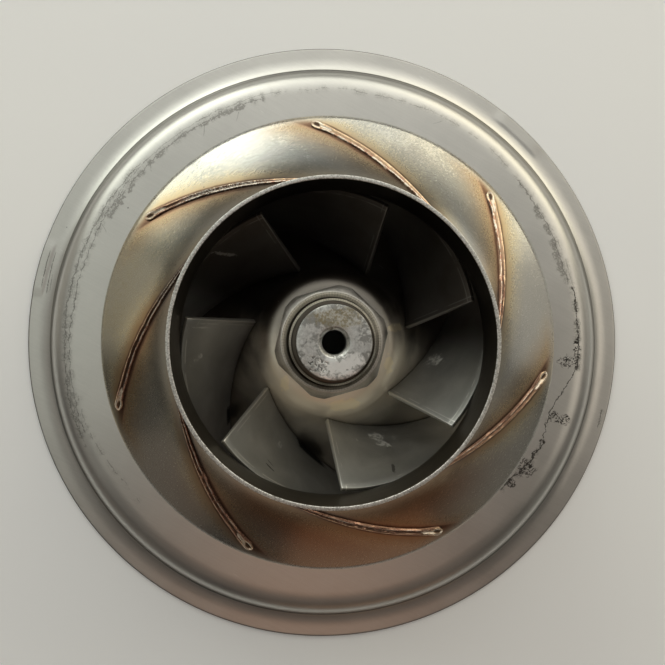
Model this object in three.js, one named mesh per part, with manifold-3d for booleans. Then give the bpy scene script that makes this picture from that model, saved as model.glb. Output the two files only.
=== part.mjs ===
// Closed mixed-flow pump impeller, pressed and welded from stainless sheet.
// It lies on its back plate with the inlet eye up. Millimetres, +Z towards the inlet,
// origin on the floor under the middle of the back plate.
import * as THREE from 'three';
import { mergeVertices } from 'three/addons/utils/BufferGeometryUtils.js';
import Module from 'manifold-3d';

const wasm = await Module();
wasm.setup();

// Sheet and fits
const SHEET = 1.2;
const VANE_SHEET = 1.0;
const GAP = 0.3;
const FACETS = 60;
const HUB_FACETS = 40;

// Back plate, upper face: flat flange, rounded shoulder, flat land, then the hub cone
const RIM_RADIUS = 82.5;
const FILLET_RADIUS = 1.8;
const SHOULDER_RADIUS = 74.8;
const SHOULDER_WIDTH = 6.2;
const LAND_HEIGHT = 7.5;
const LAND_INNER_RADIUS = 58;
const CONE_FOOT_PULL = new THREE.Vector2(37, LAND_HEIGHT);
const CONE_HEAD_PULL = new THREE.Vector2(23, 18);
const BROW = new THREE.Vector2(18.1, 31.5);
const SEAT_HEIGHT = 36;
const SEAT_RADIUS = 12.6;
const BROW_PULL = new THREE.Vector2(16.46, SEAT_HEIGHT);

// Inlet collar and front shroud
const COLLAR_BORE_RADIUS = 32.6;
const COLLAR_SHEET = 0.8;
const COLLAR_TOP = 59;
const COLLAR_FOOT = 47.5;
const COLLAR_CHAMFER = 0.2;
const NECK_RADIUS = COLLAR_BORE_RADIUS + COLLAR_SHEET + GAP + SHEET;
const NECK_TOP = 49.5;
const NECK_FOOT = 47.5;
const NECK_PULL = 44;
const SHROUD_RADIUS = 53.5;
const SHROUD_EDGE_HEIGHT = 33;
const SHROUD_PULL = new THREE.Vector2(42, 39);

// Vanes: wrap in degrees from the outer corner of the leading edge, rising with the radius
const VANE_COUNT = 7;
const FIRST_VANE = 16.1;
const VANE_STATIONS = 14;
const VANE_SPAN_STEPS = 3;
const LEADING_CORNER = new THREE.Vector2(31.6, 47.9);
const THROAT_END = 0.15;
const SHROUD_END = 0.985;
const SHROUD_WRAP_START = 18.7;
const SHROUD_WRAP = 64;
const HUB_END = 0.925;
const HUB_WRAP_START = -6.3;
const HUB_WRAP = 118;
const HUB_WRAP_EASE = -27;

// Weld beads, along the seam of each vane on the outside of the two sheets
const BEAD_WIDTH = 2.2;
const BEAD_HEIGHT = 0.7;
const BEAD_STATIONS = 12;
const BEAD_ARC_STEPS = 5;
const BEAD_START_WIDTH = 0.45;
const BEAD_END_WIDTH = 1.35;
const FRONT_BEAD = [0.2, 0.94];
const REAR_BEAD = [0.28, 0.88];

// Hub: threaded sleeve, hex nut that clamps the back plate, and nose with a tapped hole
const BORE_RADIUS = 6;
const BOSS_RADIUS = 12;
const BOSS_FOOT = 4;
const BOSS_CHAMFER = 0.6;
const THREAD_RADIUS = 9.4;
const THREAD_TOP = 49;
const THREAD_CHAMFER = 0.75;
const NUT_FLATS = 24;
const NUT_CORNER_RADIUS = 13;
const NUT_HEIGHT = 4.2;
const NUT_CHAMFER_HEIGHT = 0.85;
const NUT_FACE_RADIUS = 11.4;
const NUT_COUNTERSINK = 1.1;
const NUT_TURN = 16;
const NOSE_RADIUS = 7.8;
const NOSE_TOP = 56.2;
const NOSE_CHAMFER = 0.4;
const NOSE_NECK_RADIUS = 7;
const NOSE_NECK_HEIGHT = 1.2;
const HOLE_RADIUS = 2.5;
const HOLE_COUNTERSINK = 0.7;

const finishes = {
  plate: new THREE.MeshStandardMaterial({ color: 0xb5b7b5, roughness: 0.42, metalness: 0.9 }),
  shroud: new THREE.MeshStandardMaterial({ color: 0xb3a78f, roughness: 0.36, metalness: 0.9 }),
  collar: new THREE.MeshStandardMaterial({ color: 0xa9a7a0, roughness: 0.34, metalness: 0.9 }),
  vane: new THREE.MeshStandardMaterial({ color: 0x7c7973, roughness: 0.45, metalness: 0.85 }),
  weld: new THREE.MeshStandardMaterial({ color: 0x97694a, roughness: 0.38, metalness: 0.85 }),
  sleeve: new THREE.MeshStandardMaterial({ color: 0x9d9a92, roughness: 0.38, metalness: 0.9 }),
  nut: new THREE.MeshStandardMaterial({ color: 0x8e8c86, roughness: 0.45, metalness: 0.9 }),
  nose: new THREE.MeshStandardMaterial({ color: 0xbcbbb6, roughness: 0.3, metalness: 0.95 }),
};

// Curves in the half plane through the axis: x is the radius, y the height

const point = (radius, height) => new THREE.Vector2(radius, height);

const line = (start, end) => new THREE.LineCurve(start, end);

const arc = (radius, height, width, rise, startTurn, endTurn) => {
  const clockwise = endTurn < startTurn;
  return new THREE.EllipseCurve(radius, height, width, rise, startTurn * Math.PI, endTurn * Math.PI, clockwise);
};

// The hub cone from the land up to the brow, where the leading edges stand
const cone = new THREE.CubicBezierCurve(
  point(LAND_INNER_RADIUS, LAND_HEIGHT),
  CONE_FOOT_PULL,
  CONE_HEAD_PULL,
  BROW,
);

// The outer face of the front shroud from its neck down to its edge
const flare = new THREE.CubicBezierCurve(
  point(NECK_RADIUS, NECK_FOOT),
  point(NECK_RADIUS, NECK_PULL),
  SHROUD_PULL,
  point(SHROUD_RADIUS, SHROUD_EDGE_HEIGHT),
);

// Unit normal on the left of a curve's direction
const leftOf = (direction) => point(-direction.y, direction.x).normalize();

// Points along a chain of curves, each given with its number of steps
function trace(stretches) {
  const points = [stretches[0][0].getPoint(0)];
  for (const [curve, steps] of stretches) {
    points.push(...curve.getPoints(steps).slice(1));
  }
  return points;
}

// Points moved to the left by a distance, with mitred corners
function offsetLeft(points, distance) {
  return points.map((here, i) => {
    const before = points[Math.max(i - 1, 0)];
    const after = points[Math.min(i + 1, points.length - 1)];
    const inward = i > 0 ? leftOf(here.clone().sub(before)) : leftOf(after.clone().sub(here));
    const outward = i < points.length - 1 ? leftOf(after.clone().sub(here)) : inward;
    const mitre = inward.clone().add(outward).normalize();
    return here.clone().addScaledVector(mitre, distance / mitre.dot(inward));
  });
}

// Geometry

// A profile that runs up its outer side and down its inner side, turned about the axis
function turned(profile, facets) {
  const closed = [...profile, profile[0]];
  return new THREE.LatheGeometry(closed, facets).rotateX(Math.PI / 2);
}

// Sheet metal turned from its upper or outer face, traced inwards
function turnedSheet(face, thickness) {
  return turned([...face, ...offsetLeft(face, thickness).reverse()], FACETS);
}

// A closed solid through rings of points, all with the same even number of corners
function loft(rings) {
  const corners = rings[0].length;
  const positions = rings.flat().flatMap((corner) => corner.toArray());
  const triangles = [];
  for (let ring = 0; ring < rings.length - 1; ring += 1) {
    for (let i = 0; i < corners; i += 1) {
      const a = ring * corners + i;
      const b = ring * corners + ((i + 1) % corners);
      triangles.push(a, b, b + corners, a, b + corners, a + corners);
    }
  }
  const last = (rings.length - 1) * corners;
  for (let i = 0; i < corners / 2 - 1; i += 1) {
    const [a, b, c, d] = [i, i + 1, corners - 2 - i, corners - 1 - i];
    triangles.push(a, c, b, a, d, c);
    triangles.push(last + a, last + b, last + c, last + a, last + c, last + d);
  }
  const geometry = new THREE.BufferGeometry();
  geometry.setAttribute('position', new THREE.Float32BufferAttribute(positions, 3));
  geometry.setIndex(triangles);
  return geometry;
}

function toSolid(geometry) {
  const bare = geometry.clone();
  bare.deleteAttribute('normal');
  bare.deleteAttribute('uv');
  const merged = mergeVertices(bare);
  const vertProperties = new Float32Array(merged.attributes.position.array);
  const triVerts = new Uint32Array(merged.index.array);
  return new wasm.Manifold(new wasm.Mesh({ numProp: 3, vertProperties, triVerts }));
}

function toGeometry(solid) {
  const { vertProperties, triVerts } = solid.getMesh();
  const geometry = new THREE.BufferGeometry();
  geometry.setAttribute('position', new THREE.BufferAttribute(vertProperties, 3));
  geometry.setIndex(new THREE.BufferAttribute(triVerts, 1));
  return geometry;
}

// A point at a wrap angle in degrees, from its radius and height
function onWrap(place, degrees) {
  const angle = THREE.MathUtils.degToRad(degrees);
  return new THREE.Vector3(place.x * Math.cos(angle), place.x * Math.sin(angle), place.y);
}

// A curve's point and left normal moved off it to one side, at a wrap angle
function seat(curve, t, degrees, distance) {
  const left = leftOf(curve.getTangent(t));
  const place = curve.getPoint(t).addScaledVector(left, distance);
  return { place: onWrap(place, degrees), left: onWrap(left, degrees) };
}

// Sheet pieces

function backPlate() {
  const filletTop = SHEET + FILLET_RADIUS;
  const filletCentre = SHOULDER_RADIUS + FILLET_RADIUS;
  const landRadius = SHOULDER_RADIUS - SHOULDER_WIDTH;
  const face = trace([
    [line(point(RIM_RADIUS, SHEET), point(filletCentre, SHEET)), 1],
    [arc(filletCentre, filletTop, FILLET_RADIUS, FILLET_RADIUS, 1.5, 1), 3],
    [arc(landRadius, filletTop, SHOULDER_WIDTH, LAND_HEIGHT - filletTop, 0, 0.5), 4],
    [line(point(landRadius, LAND_HEIGHT), cone.v0), 1],
    [cone, 8],
    [new THREE.QuadraticBezierCurve(BROW, BROW_PULL, point(SEAT_RADIUS, SEAT_HEIGHT)), 3],
    [line(point(SEAT_RADIUS, SEAT_HEIGHT), point(THREAD_RADIUS + GAP, SEAT_HEIGHT)), 1],
  ]);
  return turnedSheet(face, SHEET);
}

function frontShroud() {
  const flareUp = new THREE.CubicBezierCurve(flare.v3, flare.v2, flare.v1, flare.v0);
  const face = trace([
    [flareUp, 9],
    [line(flare.v0, point(NECK_RADIUS, NECK_TOP)), 1],
  ]);
  return turnedSheet(face, SHEET);
}

function inletCollar() {
  const outer = COLLAR_BORE_RADIUS + COLLAR_SHEET;
  const shoulder = COLLAR_TOP - COLLAR_CHAMFER;
  const profile = [
    point(outer, COLLAR_FOOT),
    point(outer, shoulder),
    point(outer - COLLAR_CHAMFER, COLLAR_TOP),
    point(COLLAR_BORE_RADIUS + COLLAR_CHAMFER, COLLAR_TOP),
    point(COLLAR_BORE_RADIUS, shoulder),
    point(COLLAR_BORE_RADIUS, COLLAR_FOOT),
  ];
  return turned(profile, FACETS);
}

// Vanes

// Where the vane meets the hub cone, from the leading edge at 0 to the trailing edge at 1
function hubSeat(along) {
  const run = along * HUB_END;
  const wrap = HUB_WRAP_START + HUB_WRAP * run + HUB_WRAP_EASE * run * run;
  return seat(cone, 1 - run, wrap, GAP * -1);
}

const wrapAtShroud = (t) => SHROUD_WRAP_START + SHROUD_WRAP * t;

// Where the vane meets the shroud: down through the throat below the collar, then along the flare
function shroudSeat(along) {
  const wrap = along * wrapAtShroud(SHROUD_END);
  const t = (wrap - SHROUD_WRAP_START) / SHROUD_WRAP;
  const below = SHEET + GAP;
  if (t > THROAT_END) {
    return seat(flare, t, wrap, -below);
  }
  const throatFoot = flare.getPoint(THROAT_END);
  throatFoot.addScaledVector(leftOf(flare.getTangent(THROAT_END)), -below);
  const throat = line(LEADING_CORNER, throatFoot);
  return seat(throat, wrap / wrapAtShroud(THROAT_END), wrap, 0);
}

// The four corners of the vane at one station: root and tip on each face, kept clear of both sheets
function vaneCorners(along) {
  const step = 0.5 / VANE_STATIONS;
  const low = Math.max(along - step, 0);
  const high = Math.min(along + step, 1);
  const across = shroudSeat(along).place.sub(hubSeat(along).place).normalize();
  const faceAt = (seatOf, side) => {
    const { place, left } = seatOf(along);
    const run = seatOf(high).place.sub(seatOf(low).place);
    const thickness = run.cross(across).setLength(side * VANE_SHEET / 2);
    const slide = -thickness.dot(left) / across.dot(left);
    return place.add(thickness).addScaledVector(across, slide);
  };
  return [faceAt(hubSeat, -1), faceAt(shroudSeat, -1), faceAt(shroudSeat, 1), faceAt(hubSeat, 1)];
}

function vane() {
  const rings = [];
  for (let station = 0; station <= VANE_STATIONS; station += 1) {
    const [rootFront, tipFront, tipBack, rootBack] = vaneCorners(station / VANE_STATIONS);
    const ring = [];
    for (let i = 0; i <= VANE_SPAN_STEPS; i += 1) {
      ring.push(rootFront.clone().lerp(tipFront, i / VANE_SPAN_STEPS));
    }
    for (let i = 0; i <= VANE_SPAN_STEPS; i += 1) {
      ring.push(tipBack.clone().lerp(rootBack, i / VANE_SPAN_STEPS));
    }
    rings.push(ring);
  }
  return loft(rings);
}

// Weld beads

// A rounded bead along a seam, thin where it starts and swollen where it ends
function bead(seamAt, start, end, side) {
  const rings = [];
  for (let station = 0; station <= BEAD_STATIONS; station += 1) {
    const along = station / BEAD_STATIONS;
    const t = THREE.MathUtils.lerp(start, end, along);
    const step = (end - start) / BEAD_STATIONS / 2;
    const { place, left } = seamAt(t);
    const up = left.multiplyScalar(side);
    const run = seamAt(t + step).place.sub(seamAt(t - step).place);
    const across = up.clone().cross(run).normalize();
    const swell = THREE.MathUtils.lerp(BEAD_START_WIDTH, BEAD_END_WIDTH, along);
    const taper = Math.min(1, (1 - along) * BEAD_STATIONS / 2 + BEAD_START_WIDTH);
    const size = Math.min(swell + 0.5 * Math.sin(along * Math.PI), BEAD_END_WIDTH) * taper;
    const ring = [];
    for (let i = 0; i <= BEAD_ARC_STEPS; i += 1) {
      const turn = Math.PI * i / BEAD_ARC_STEPS;
      const corner = place.clone().addScaledVector(across, size * BEAD_WIDTH / 2 * Math.cos(turn));
      ring.push(corner.addScaledVector(up, size * BEAD_HEIGHT * Math.sin(turn)));
    }
    rings.push(ring);
  }
  return loft(rings);
}

function frontBead() {
  const seamAt = (t) => seat(flare, t, wrapAtShroud(t), GAP);
  return bead(seamAt, FRONT_BEAD[0], FRONT_BEAD[1], 1);
}

function rearBead() {
  const seamAt = (run) => {
    const wrap = HUB_WRAP_START + HUB_WRAP * run + HUB_WRAP_EASE * run * run;
    return seat(cone, 1 - run, wrap, SHEET + GAP);
  };
  return bead(seamAt, REAR_BEAD[0], REAR_BEAD[1], 1);
}

// Hub

function hubSleeve() {
  const underSeat = SEAT_HEIGHT - SHEET;
  const profile = [
    point(BORE_RADIUS + BOSS_CHAMFER, BOSS_FOOT),
    point(BOSS_RADIUS - BOSS_CHAMFER, BOSS_FOOT),
    point(BOSS_RADIUS, BOSS_FOOT + BOSS_CHAMFER),
    point(BOSS_RADIUS, underSeat),
    point(THREAD_RADIUS, underSeat),
    point(THREAD_RADIUS, THREAD_TOP - THREAD_CHAMFER),
    point(THREAD_RADIUS - THREAD_CHAMFER, THREAD_TOP),
    point(BORE_RADIUS, THREAD_TOP),
    point(BORE_RADIUS, BOSS_FOOT + BOSS_CHAMFER),
  ];
  return turned(profile, HUB_FACETS);
}

function hubNut() {
  const top = SEAT_HEIGHT + NUT_HEIGHT;
  const bore = THREAD_RADIUS + GAP;
  const blank = turned([
    point(bore, SEAT_HEIGHT),
    point(NUT_CORNER_RADIUS, SEAT_HEIGHT),
    point(NUT_CORNER_RADIUS, top - NUT_CHAMFER_HEIGHT),
    point(NUT_FACE_RADIUS, top),
    point(bore + NUT_COUNTERSINK, top),
    point(bore, top - NUT_COUNTERSINK),
  ], HUB_FACETS);
  const cornerToCorner = NUT_FLATS / Math.cos(Math.PI / 6) / 2;
  const hex = new THREE.CylinderGeometry(cornerToCorner, cornerToCorner, NUT_HEIGHT * 2, 6);
  hex.rotateX(Math.PI / 2);
  hex.rotateZ(THREE.MathUtils.degToRad(NUT_TURN - 30));
  hex.translate(0, 0, SEAT_HEIGHT + NUT_HEIGHT / 2);
  return toGeometry(toSolid(blank).intersect(toSolid(hex)));
}

function hubNose() {
  const profile = [
    point(HOLE_RADIUS, THREAD_TOP),
    point(NOSE_NECK_RADIUS, THREAD_TOP),
    point(NOSE_NECK_RADIUS, THREAD_TOP + NOSE_NECK_HEIGHT),
    point(NOSE_RADIUS, THREAD_TOP + NOSE_NECK_HEIGHT + NOSE_CHAMFER),
    point(NOSE_RADIUS, NOSE_TOP - NOSE_CHAMFER),
    point(NOSE_RADIUS - NOSE_CHAMFER, NOSE_TOP),
    point(HOLE_RADIUS + HOLE_COUNTERSINK, NOSE_TOP),
    point(HOLE_RADIUS, NOSE_TOP - HOLE_COUNTERSINK),
  ];
  return turned(profile, HUB_FACETS);
}

// Assembly

const impeller = new THREE.Group();

function place(name, geometry, finish, turn = 0) {
  const mesh = new THREE.Mesh(geometry, finish);
  mesh.name = name;
  mesh.rotation.z = THREE.MathUtils.degToRad(turn);
  impeller.add(mesh);
}

place('back_plate', backPlate(), finishes.plate);
place('front_shroud', frontShroud(), finishes.shroud);
place('inlet_collar', inletCollar(), finishes.collar);
place('hub_sleeve', hubSleeve(), finishes.sleeve);
place('hub_nut', hubNut(), finishes.nut);
place('hub_nose', hubNose(), finishes.nose);

for (let k = 0; k < VANE_COUNT; k += 1) {
  const turn = FIRST_VANE + k * 360 / VANE_COUNT;
  place(`vane_${k + 1}`, vane(), finishes.vane, turn);
  place(`front_weld_${k + 1}`, frontBead(), finishes.weld, turn);
  place(`rear_weld_${k + 1}`, rearBead(), finishes.weld, turn);
}

export default impeller;
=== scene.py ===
"""Looks of a closed pond pump impeller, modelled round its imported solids.

The impeller lies on its back plate with the inlet eye up: metres, +Z towards the inlet.
Sizes in the classes are millimetres, and the mesh work turns them into metres. Those of the
studio are metres as they stand.
"""

import logging
import math
from collections.abc import Callable, Sequence
from dataclasses import dataclass, field
from enum import Enum
from functools import reduce
from types import SimpleNamespace
from typing import ClassVar, Union

import bmesh
import bpy
from mathutils import Matrix, Vector


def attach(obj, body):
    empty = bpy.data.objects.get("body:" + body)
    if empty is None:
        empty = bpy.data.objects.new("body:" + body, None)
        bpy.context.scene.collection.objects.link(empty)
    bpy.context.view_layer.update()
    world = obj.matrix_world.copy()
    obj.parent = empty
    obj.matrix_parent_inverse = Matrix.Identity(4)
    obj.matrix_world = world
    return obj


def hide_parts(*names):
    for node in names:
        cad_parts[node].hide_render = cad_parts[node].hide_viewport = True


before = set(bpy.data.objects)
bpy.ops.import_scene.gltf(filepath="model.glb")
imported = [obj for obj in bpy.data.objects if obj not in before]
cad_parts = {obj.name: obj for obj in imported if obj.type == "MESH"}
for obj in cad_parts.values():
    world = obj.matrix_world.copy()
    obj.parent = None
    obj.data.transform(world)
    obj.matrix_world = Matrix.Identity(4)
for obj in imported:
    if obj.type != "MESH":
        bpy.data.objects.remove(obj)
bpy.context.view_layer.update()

MM = 0.001
# Shares of a curve and of a strip, over which their directions are read
NEAR = 1e-3
STRIDE = 0.01
BODY = "root"
PHOTO_SIDE = 665
FOCAL_PIXELS = 700.0
SENSOR = 36.0
# Turns in degrees of the side at the bottom of the view, and of the one at its top
NEAR_SIDE = 274.0
FAR_SIDE = 95.0
Colour = tuple[float, float, float]
Place = tuple[float, float, float]
Pair = tuple[float, float]
log = logging.getLogger("impeller")


# Curves and sections


@dataclass(frozen=True)
class Curve:
    """A Bézier curve in the half plane through the axis: x is the radius, y the height."""

    controls: tuple[Pair, ...]

    def at(self, share: float) -> Vector:
        """Find a place on the curve by halving between neighbours.

        Args:
            share: How far along the curve, from 0 to 1.

        Returns:
            Radius and height in millimetres.
        """
        points = [Vector(control) for control in self.controls]
        while len(points) > 1:
            points = [a.lerp(b, share) for a, b in zip(points, points[1:])]
        return points[0]

    def run(self, share: float) -> Vector:
        """Return the way from just before a share of the curve to just after it."""
        return self.at(share + NEAR) - self.at(share - NEAR)

    def left(self, share: float) -> Vector:
        """Return the unit normal on the left of the curve's direction."""
        return Vector((-self.run(share).y, self.run(share).x)).normalized()

    def beside(self, share: float, distance: float) -> Vector:
        """Return the place that lies a distance to the left of the curve."""
        return self.at(share) + self.left(share) * distance


# The hub cone from the land to its brow, and the outer face of the shroud from its neck down
CONE = Curve(((58.0, 7.5), (37.0, 7.5), (23.0, 18.0), (18.1, 31.5)))
FLARE = Curve(((34.9, 47.5), (34.9, 44.0), (42.0, 39.0), (53.5, 33.0)))
# The foot of the shoulder, which rises gently from the flange to a groove, and the shoulder above it
FOOT = Curve(((80.0, 1.2), (77.7, 1.2), (76.2, 1.85)))
SHOULDER = Curve(((74.95, 4.35), (73.9, 5.9), (72.1, 7.5), (67.9, 7.5)))


@dataclass
class Section:
    """An outline that is turned about the axis, traced point by point in millimetres."""

    points: list[Vector] = field(default_factory=list)

    def to(self, radius: float, height: float, steps: int = 1) -> "Section":
        """Trace a straight stretch.

        Args:
            radius: Radius of its end.
            height: Height of its end.
            steps: Number of points that it adds.

        Returns:
            The section itself.
        """
        start, end = self.points[-1], Vector((radius, height))
        self.points += [start.lerp(end, step / steps) for step in range(1, steps + 1)]
        return self

    def along(self, curve: Curve, steps: int) -> "Section":
        """Trace a curve that starts where the section is, with a point for each step."""
        self.points += [curve.at(step / steps) for step in range(1, steps + 1)]
        return self


# Modelling by hand


class Axis(Enum):
    """A global axis that a mesh is turned about."""

    X = "X"
    Y = "Y"
    Z = "Z"


class Fitting(Enum):
    """A modifier that finishes a piece."""

    WALL = "SOLIDIFY"
    EDGES = "BEVEL"
    COMMON = "BOOLEAN"


def clear_selection() -> None:
    """Deselect every object, so that an operator meets only what comes next."""
    bpy.ops.object.select_all(action="DESELECT")


def take_up(piece: bpy.types.Object) -> None:
    """Select one piece, and make it the active one.

    Args:
        piece: The piece.
    """
    clear_selection()
    piece.select_set(True)
    bpy.context.view_layer.objects.active = piece


def metres(place: Sequence[float]) -> tuple[float, ...]:
    """Turn a place in millimetres into metres."""
    return tuple(value * MM for value in place)


class Bench:
    """A mesh that is being shaped in edit mode. Places and lengths are millimetres."""

    def __init__(self, name: str) -> None:
        """Take the newest primitive onto the bench, with its place in its mesh.

        Args:
            name: What the finished piece is called.
        """
        bpy.ops.object.transform_apply(location=True, rotation=True, scale=True)
        self.piece: bpy.types.Object = bpy.context.object
        self.piece.name = name
        self.piece.data.name = name
        bpy.ops.object.mode_set(mode="EDIT")

    def pick(self, wanted: Callable[[Vector], bool]) -> None:
        """Select vertices by their place, and nothing else.

        Args:
            wanted: Says of a place in millimetres whether it is wanted.
        """
        bpy.ops.mesh.select_all(action="DESELECT")
        shape = bmesh.from_edit_mesh(self.piece.data)
        for vertex in shape.verts:
            vertex.select = wanted(vertex.co / MM)
        shape.select_flush(True)
        bmesh.update_edit_mesh(self.piece.data)

    def pick_all(self) -> None:
        """Select the whole mesh."""
        bpy.ops.mesh.select_all(action="SELECT")

    def shift(self, by: Sequence[float], reach: float = 0.0) -> None:
        """Move what is selected, with a pull on the rest that fades out over a reach, if any."""
        bpy.ops.transform.translate(
            value=metres(by),
            use_proportional_edit=reach > 0,
            proportional_size=reach * MM,
            proportional_edit_falloff="SMOOTH",
        )

    def resize(self, by: Sequence[float], about: Sequence[float]) -> None:
        """Scale what is selected about a place."""
        bpy.ops.transform.resize(value=tuple(by), center_override=metres(about))

    def turn(self, angle: float, axis: Axis, about: Sequence[float] = (0.0, 0.0, 0.0)) -> None:
        """Turn what is selected by radians, anticlockwise with the axis towards the eye."""
        # With no window, transform.rotate turns the other way
        middle = metres(about)
        bpy.ops.transform.rotate(value=-angle, orient_axis=axis.value, center_override=middle)

    def extrude(self, by: Sequence[float]) -> None:
        """Extrude what is selected by a move in millimetres."""
        bpy.ops.mesh.extrude_region_move(TRANSFORM_OT_translate={"value": metres(by)})

    def close(self) -> None:
        """Merge what lies in one place and point every face outwards."""
        self.pick_all()
        bpy.ops.mesh.remove_doubles(threshold=1e-6)
        bpy.ops.mesh.normals_make_consistent(inside=False)

    def face_up(self) -> None:
        """Flip an open sheet whose faces look down more than up."""
        shape = bmesh.from_edit_mesh(self.piece.data)
        if sum(face.normal.z * face.calc_area() for face in shape.faces) < 0:
            self.pick_all()
            bpy.ops.mesh.flip_normals()

    def leave(self) -> bpy.types.Object:
        """Go back to object mode and return the piece, which is the only one selected."""
        bpy.ops.object.mode_set(mode="OBJECT")
        return self.piece


Setting = Union[float, int, str, bool, bpy.types.Object]


def fit(piece: bpy.types.Object, kind: Fitting, **settings: Setting) -> None:
    """Put a modifier on the active piece and apply it.

    Args:
        piece: The active piece.
        kind: Which modifier.
        settings: The modifier's own settings, lengths in metres.
    """
    bpy.ops.object.modifier_add(type=kind.value)
    modifier = piece.modifiers[-1]
    for name, value in settings.items():
        setattr(modifier, name, value)
    bpy.ops.object.modifier_apply(modifier=modifier.name)


def turn_section(name: str, section: Section, sides: int, closed: bool) -> Bench:
    """Turn a section about the axis, ring by ring from a circle at its first point.

    Args:
        name: What the piece is called.
        section: The outline.
        sides: Number of corners of a ring.
        closed: Whether the outline comes back to its first point.

    Returns:
        The bench with the turned mesh, whole and merged.
    """
    here = section.points[0]
    clear_selection()
    place = metres((0, 0, here.y))
    bpy.ops.mesh.primitive_circle_add(vertices=sides, radius=here.x * MM, location=place)
    bench = Bench(name)
    for there in section.points[1:] + ([here] if closed else []):
        bench.extrude((0, 0, there.y - here.y))
        bench.resize((there.x / here.x, there.x / here.x, 1), (0, 0, there.y))
        here = there
    bench.close()
    return bench


def soften(piece: bpy.types.Object, width: float, segments: int = 2, angle: float = 40.0) -> None:
    """Round the sharp edges of the active piece and shade it smooth between them.

    Args:
        piece: The active piece.
        width: Width of the rounding in millimetres.
        segments: Number of faces across it.
        angle: Edges sharper than this many degrees are rounded.
    """
    limit = math.radians(angle)
    rule = {"limit_method": "ANGLE", "angle_limit": limit}
    fit(piece, Fitting.EDGES, width=width * MM, segments=segments, **rule)
    bpy.ops.object.shade_smooth_by_angle(angle=limit)


def note_places(piece: bpy.types.Object, name: str, reading: Callable[[Vector], float]) -> None:
    """Write a reading of every vertex into an attribute that a finish can follow.

    Args:
        piece: The piece.
        name: The attribute's name.
        reading: Gives the value at a place in millimetres.
    """
    attribute = piece.data.attributes.new(name, "FLOAT", "POINT")
    values = [reading(vertex.co / MM) for vertex in piece.data.vertices]
    attribute.data.foreach_set("value", values)


@dataclass(frozen=True)
class Station:
    """Where one column of a flat strip is carried to."""

    place: Vector
    run: Vector
    across: Vector
    stretch: Vector

    def turns(self) -> tuple[float, float, float]:
        """Work out the turns that lay the flat X, Y and Z along run, across and their normal.

        Returns:
            Angles about the global X, Y and Z, made in that order.
        """
        across = self.across.normalized()
        normal = self.run.cross(across).normalized()
        run = across.cross(normal)
        lay = Matrix((run, across, normal)).transposed().to_euler("XYZ")
        return lay.x, lay.y, lay.z


@dataclass
class Strip:
    """A flat grid that is shaped in the flat, and then laid in space column by column."""

    name: str
    length: float
    width: float
    columns: int
    rows: int
    away: ClassVar[float] = 400.0

    def add(self) -> Bench:
        """Add the flat grid well away from the object.

        Returns:
            The bench with the grid, its length along X and its width along Y.
        """
        clear_selection()
        cuts = {"x_subdivisions": self.columns, "y_subdivisions": self.rows}
        bpy.ops.mesh.primitive_grid_add(size=MM, location=(self.away * MM, 0, 0), **cuts)
        bench = Bench(self.name)
        bench.resize((self.length, self.width, 1), (self.away, 0, 0))
        return bench

    def column(self, share: float) -> float:
        """Return the X of the column that lies a share of the way along."""
        return self.away + (share - 0.5) * self.length

    def lay(self, bench: Bench, station: Callable[[float], Station]) -> None:
        """Carry every column to its station.

        Args:
            bench: The bench with the flat strip.
            station: Gives the station of a column, from its share of the length.
        """
        half_gap = self.length / self.columns / 2
        for index in range(self.columns + 1):
            share = index / self.columns
            x = self.column(share)
            bench.pick(lambda place: abs(place.x - x) < half_gap)
            there = station(share)
            root = (x, 0, 0)
            bench.resize(there.stretch, root)
            for angle, axis in zip(there.turns(), Axis):
                bench.turn(angle, axis, root)
            bench.shift(there.place - Vector(root))


def ring_of(piece: bpy.types.Object, stem: str, count: int) -> list[bpy.types.Object]:
    """Copy a finished piece round the axis, each copy with its own mesh.

    Args:
        piece: The piece that is modelled.
        stem: The name that the numbers follow.
        count: Number of pieces in the ring.

    Returns:
        All the pieces, the modelled one first.
    """
    pieces = [piece]
    piece.name = f"{stem}_1"
    for k in range(1, count):
        take_up(piece)
        bpy.ops.object.duplicate(linked=False)
        bench = Bench(f"{stem}_{k + 1}")
        bench.pick_all()
        bench.turn(k * math.tau / count, Axis.Z)
        pieces.append(bench.leave())
    return pieces


# Node wiring


class Op(Enum):
    """A sum that a Math node does."""

    ADD = "ADD"
    SUBTRACT = "SUBTRACT"
    MULTIPLY = "MULTIPLY"
    DIVIDE = "DIVIDE"
    SINE = "SINE"
    ABSOLUTE = "ABSOLUTE"
    LARGER = "MAXIMUM"
    ANGLE = "ARCTAN2"
    ROOT = "SQRT"
    WRAP = "WRAP"


class Kind(Enum):
    """What a group's socket carries."""

    NUMBER = "NodeSocketFloat"
    VECTOR = "NodeSocketVector"


Value = Union["Wire", float, Sequence[float]]


@dataclass(frozen=True)
class Wire:
    """A value on its way through a node tree. Sums and products of it add Math nodes."""

    graph: "Graph"
    socket: bpy.types.NodeSocket

    def __add__(self, other: Value) -> "Wire":
        """Return the sum."""
        return self.graph.math(Op.ADD, self, other)

    def __sub__(self, other: Value) -> "Wire":
        """Return the difference."""
        return self.graph.math(Op.SUBTRACT, self, other)

    def __rsub__(self, other: Value) -> "Wire":
        """Return the difference from a number."""
        return self.graph.math(Op.SUBTRACT, other, self)

    def __mul__(self, other: Value) -> "Wire":
        """Return the product."""
        return self.graph.math(Op.MULTIPLY, self, other)

    def __truediv__(self, other: Value) -> "Wire":
        """Return the quotient."""
        return self.graph.math(Op.DIVIDE, self, other)

    def __abs__(self) -> "Wire":
        """Return the value without its sign."""
        return self.graph.math(Op.ABSOLUTE, self)

    def __rtruediv__(self, other: Value) -> "Wire":
        """Return the quotient of a number and the value."""
        return self.graph.math(Op.DIVIDE, other, self)

    __radd__ = __add__
    __rmul__ = __mul__


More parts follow.
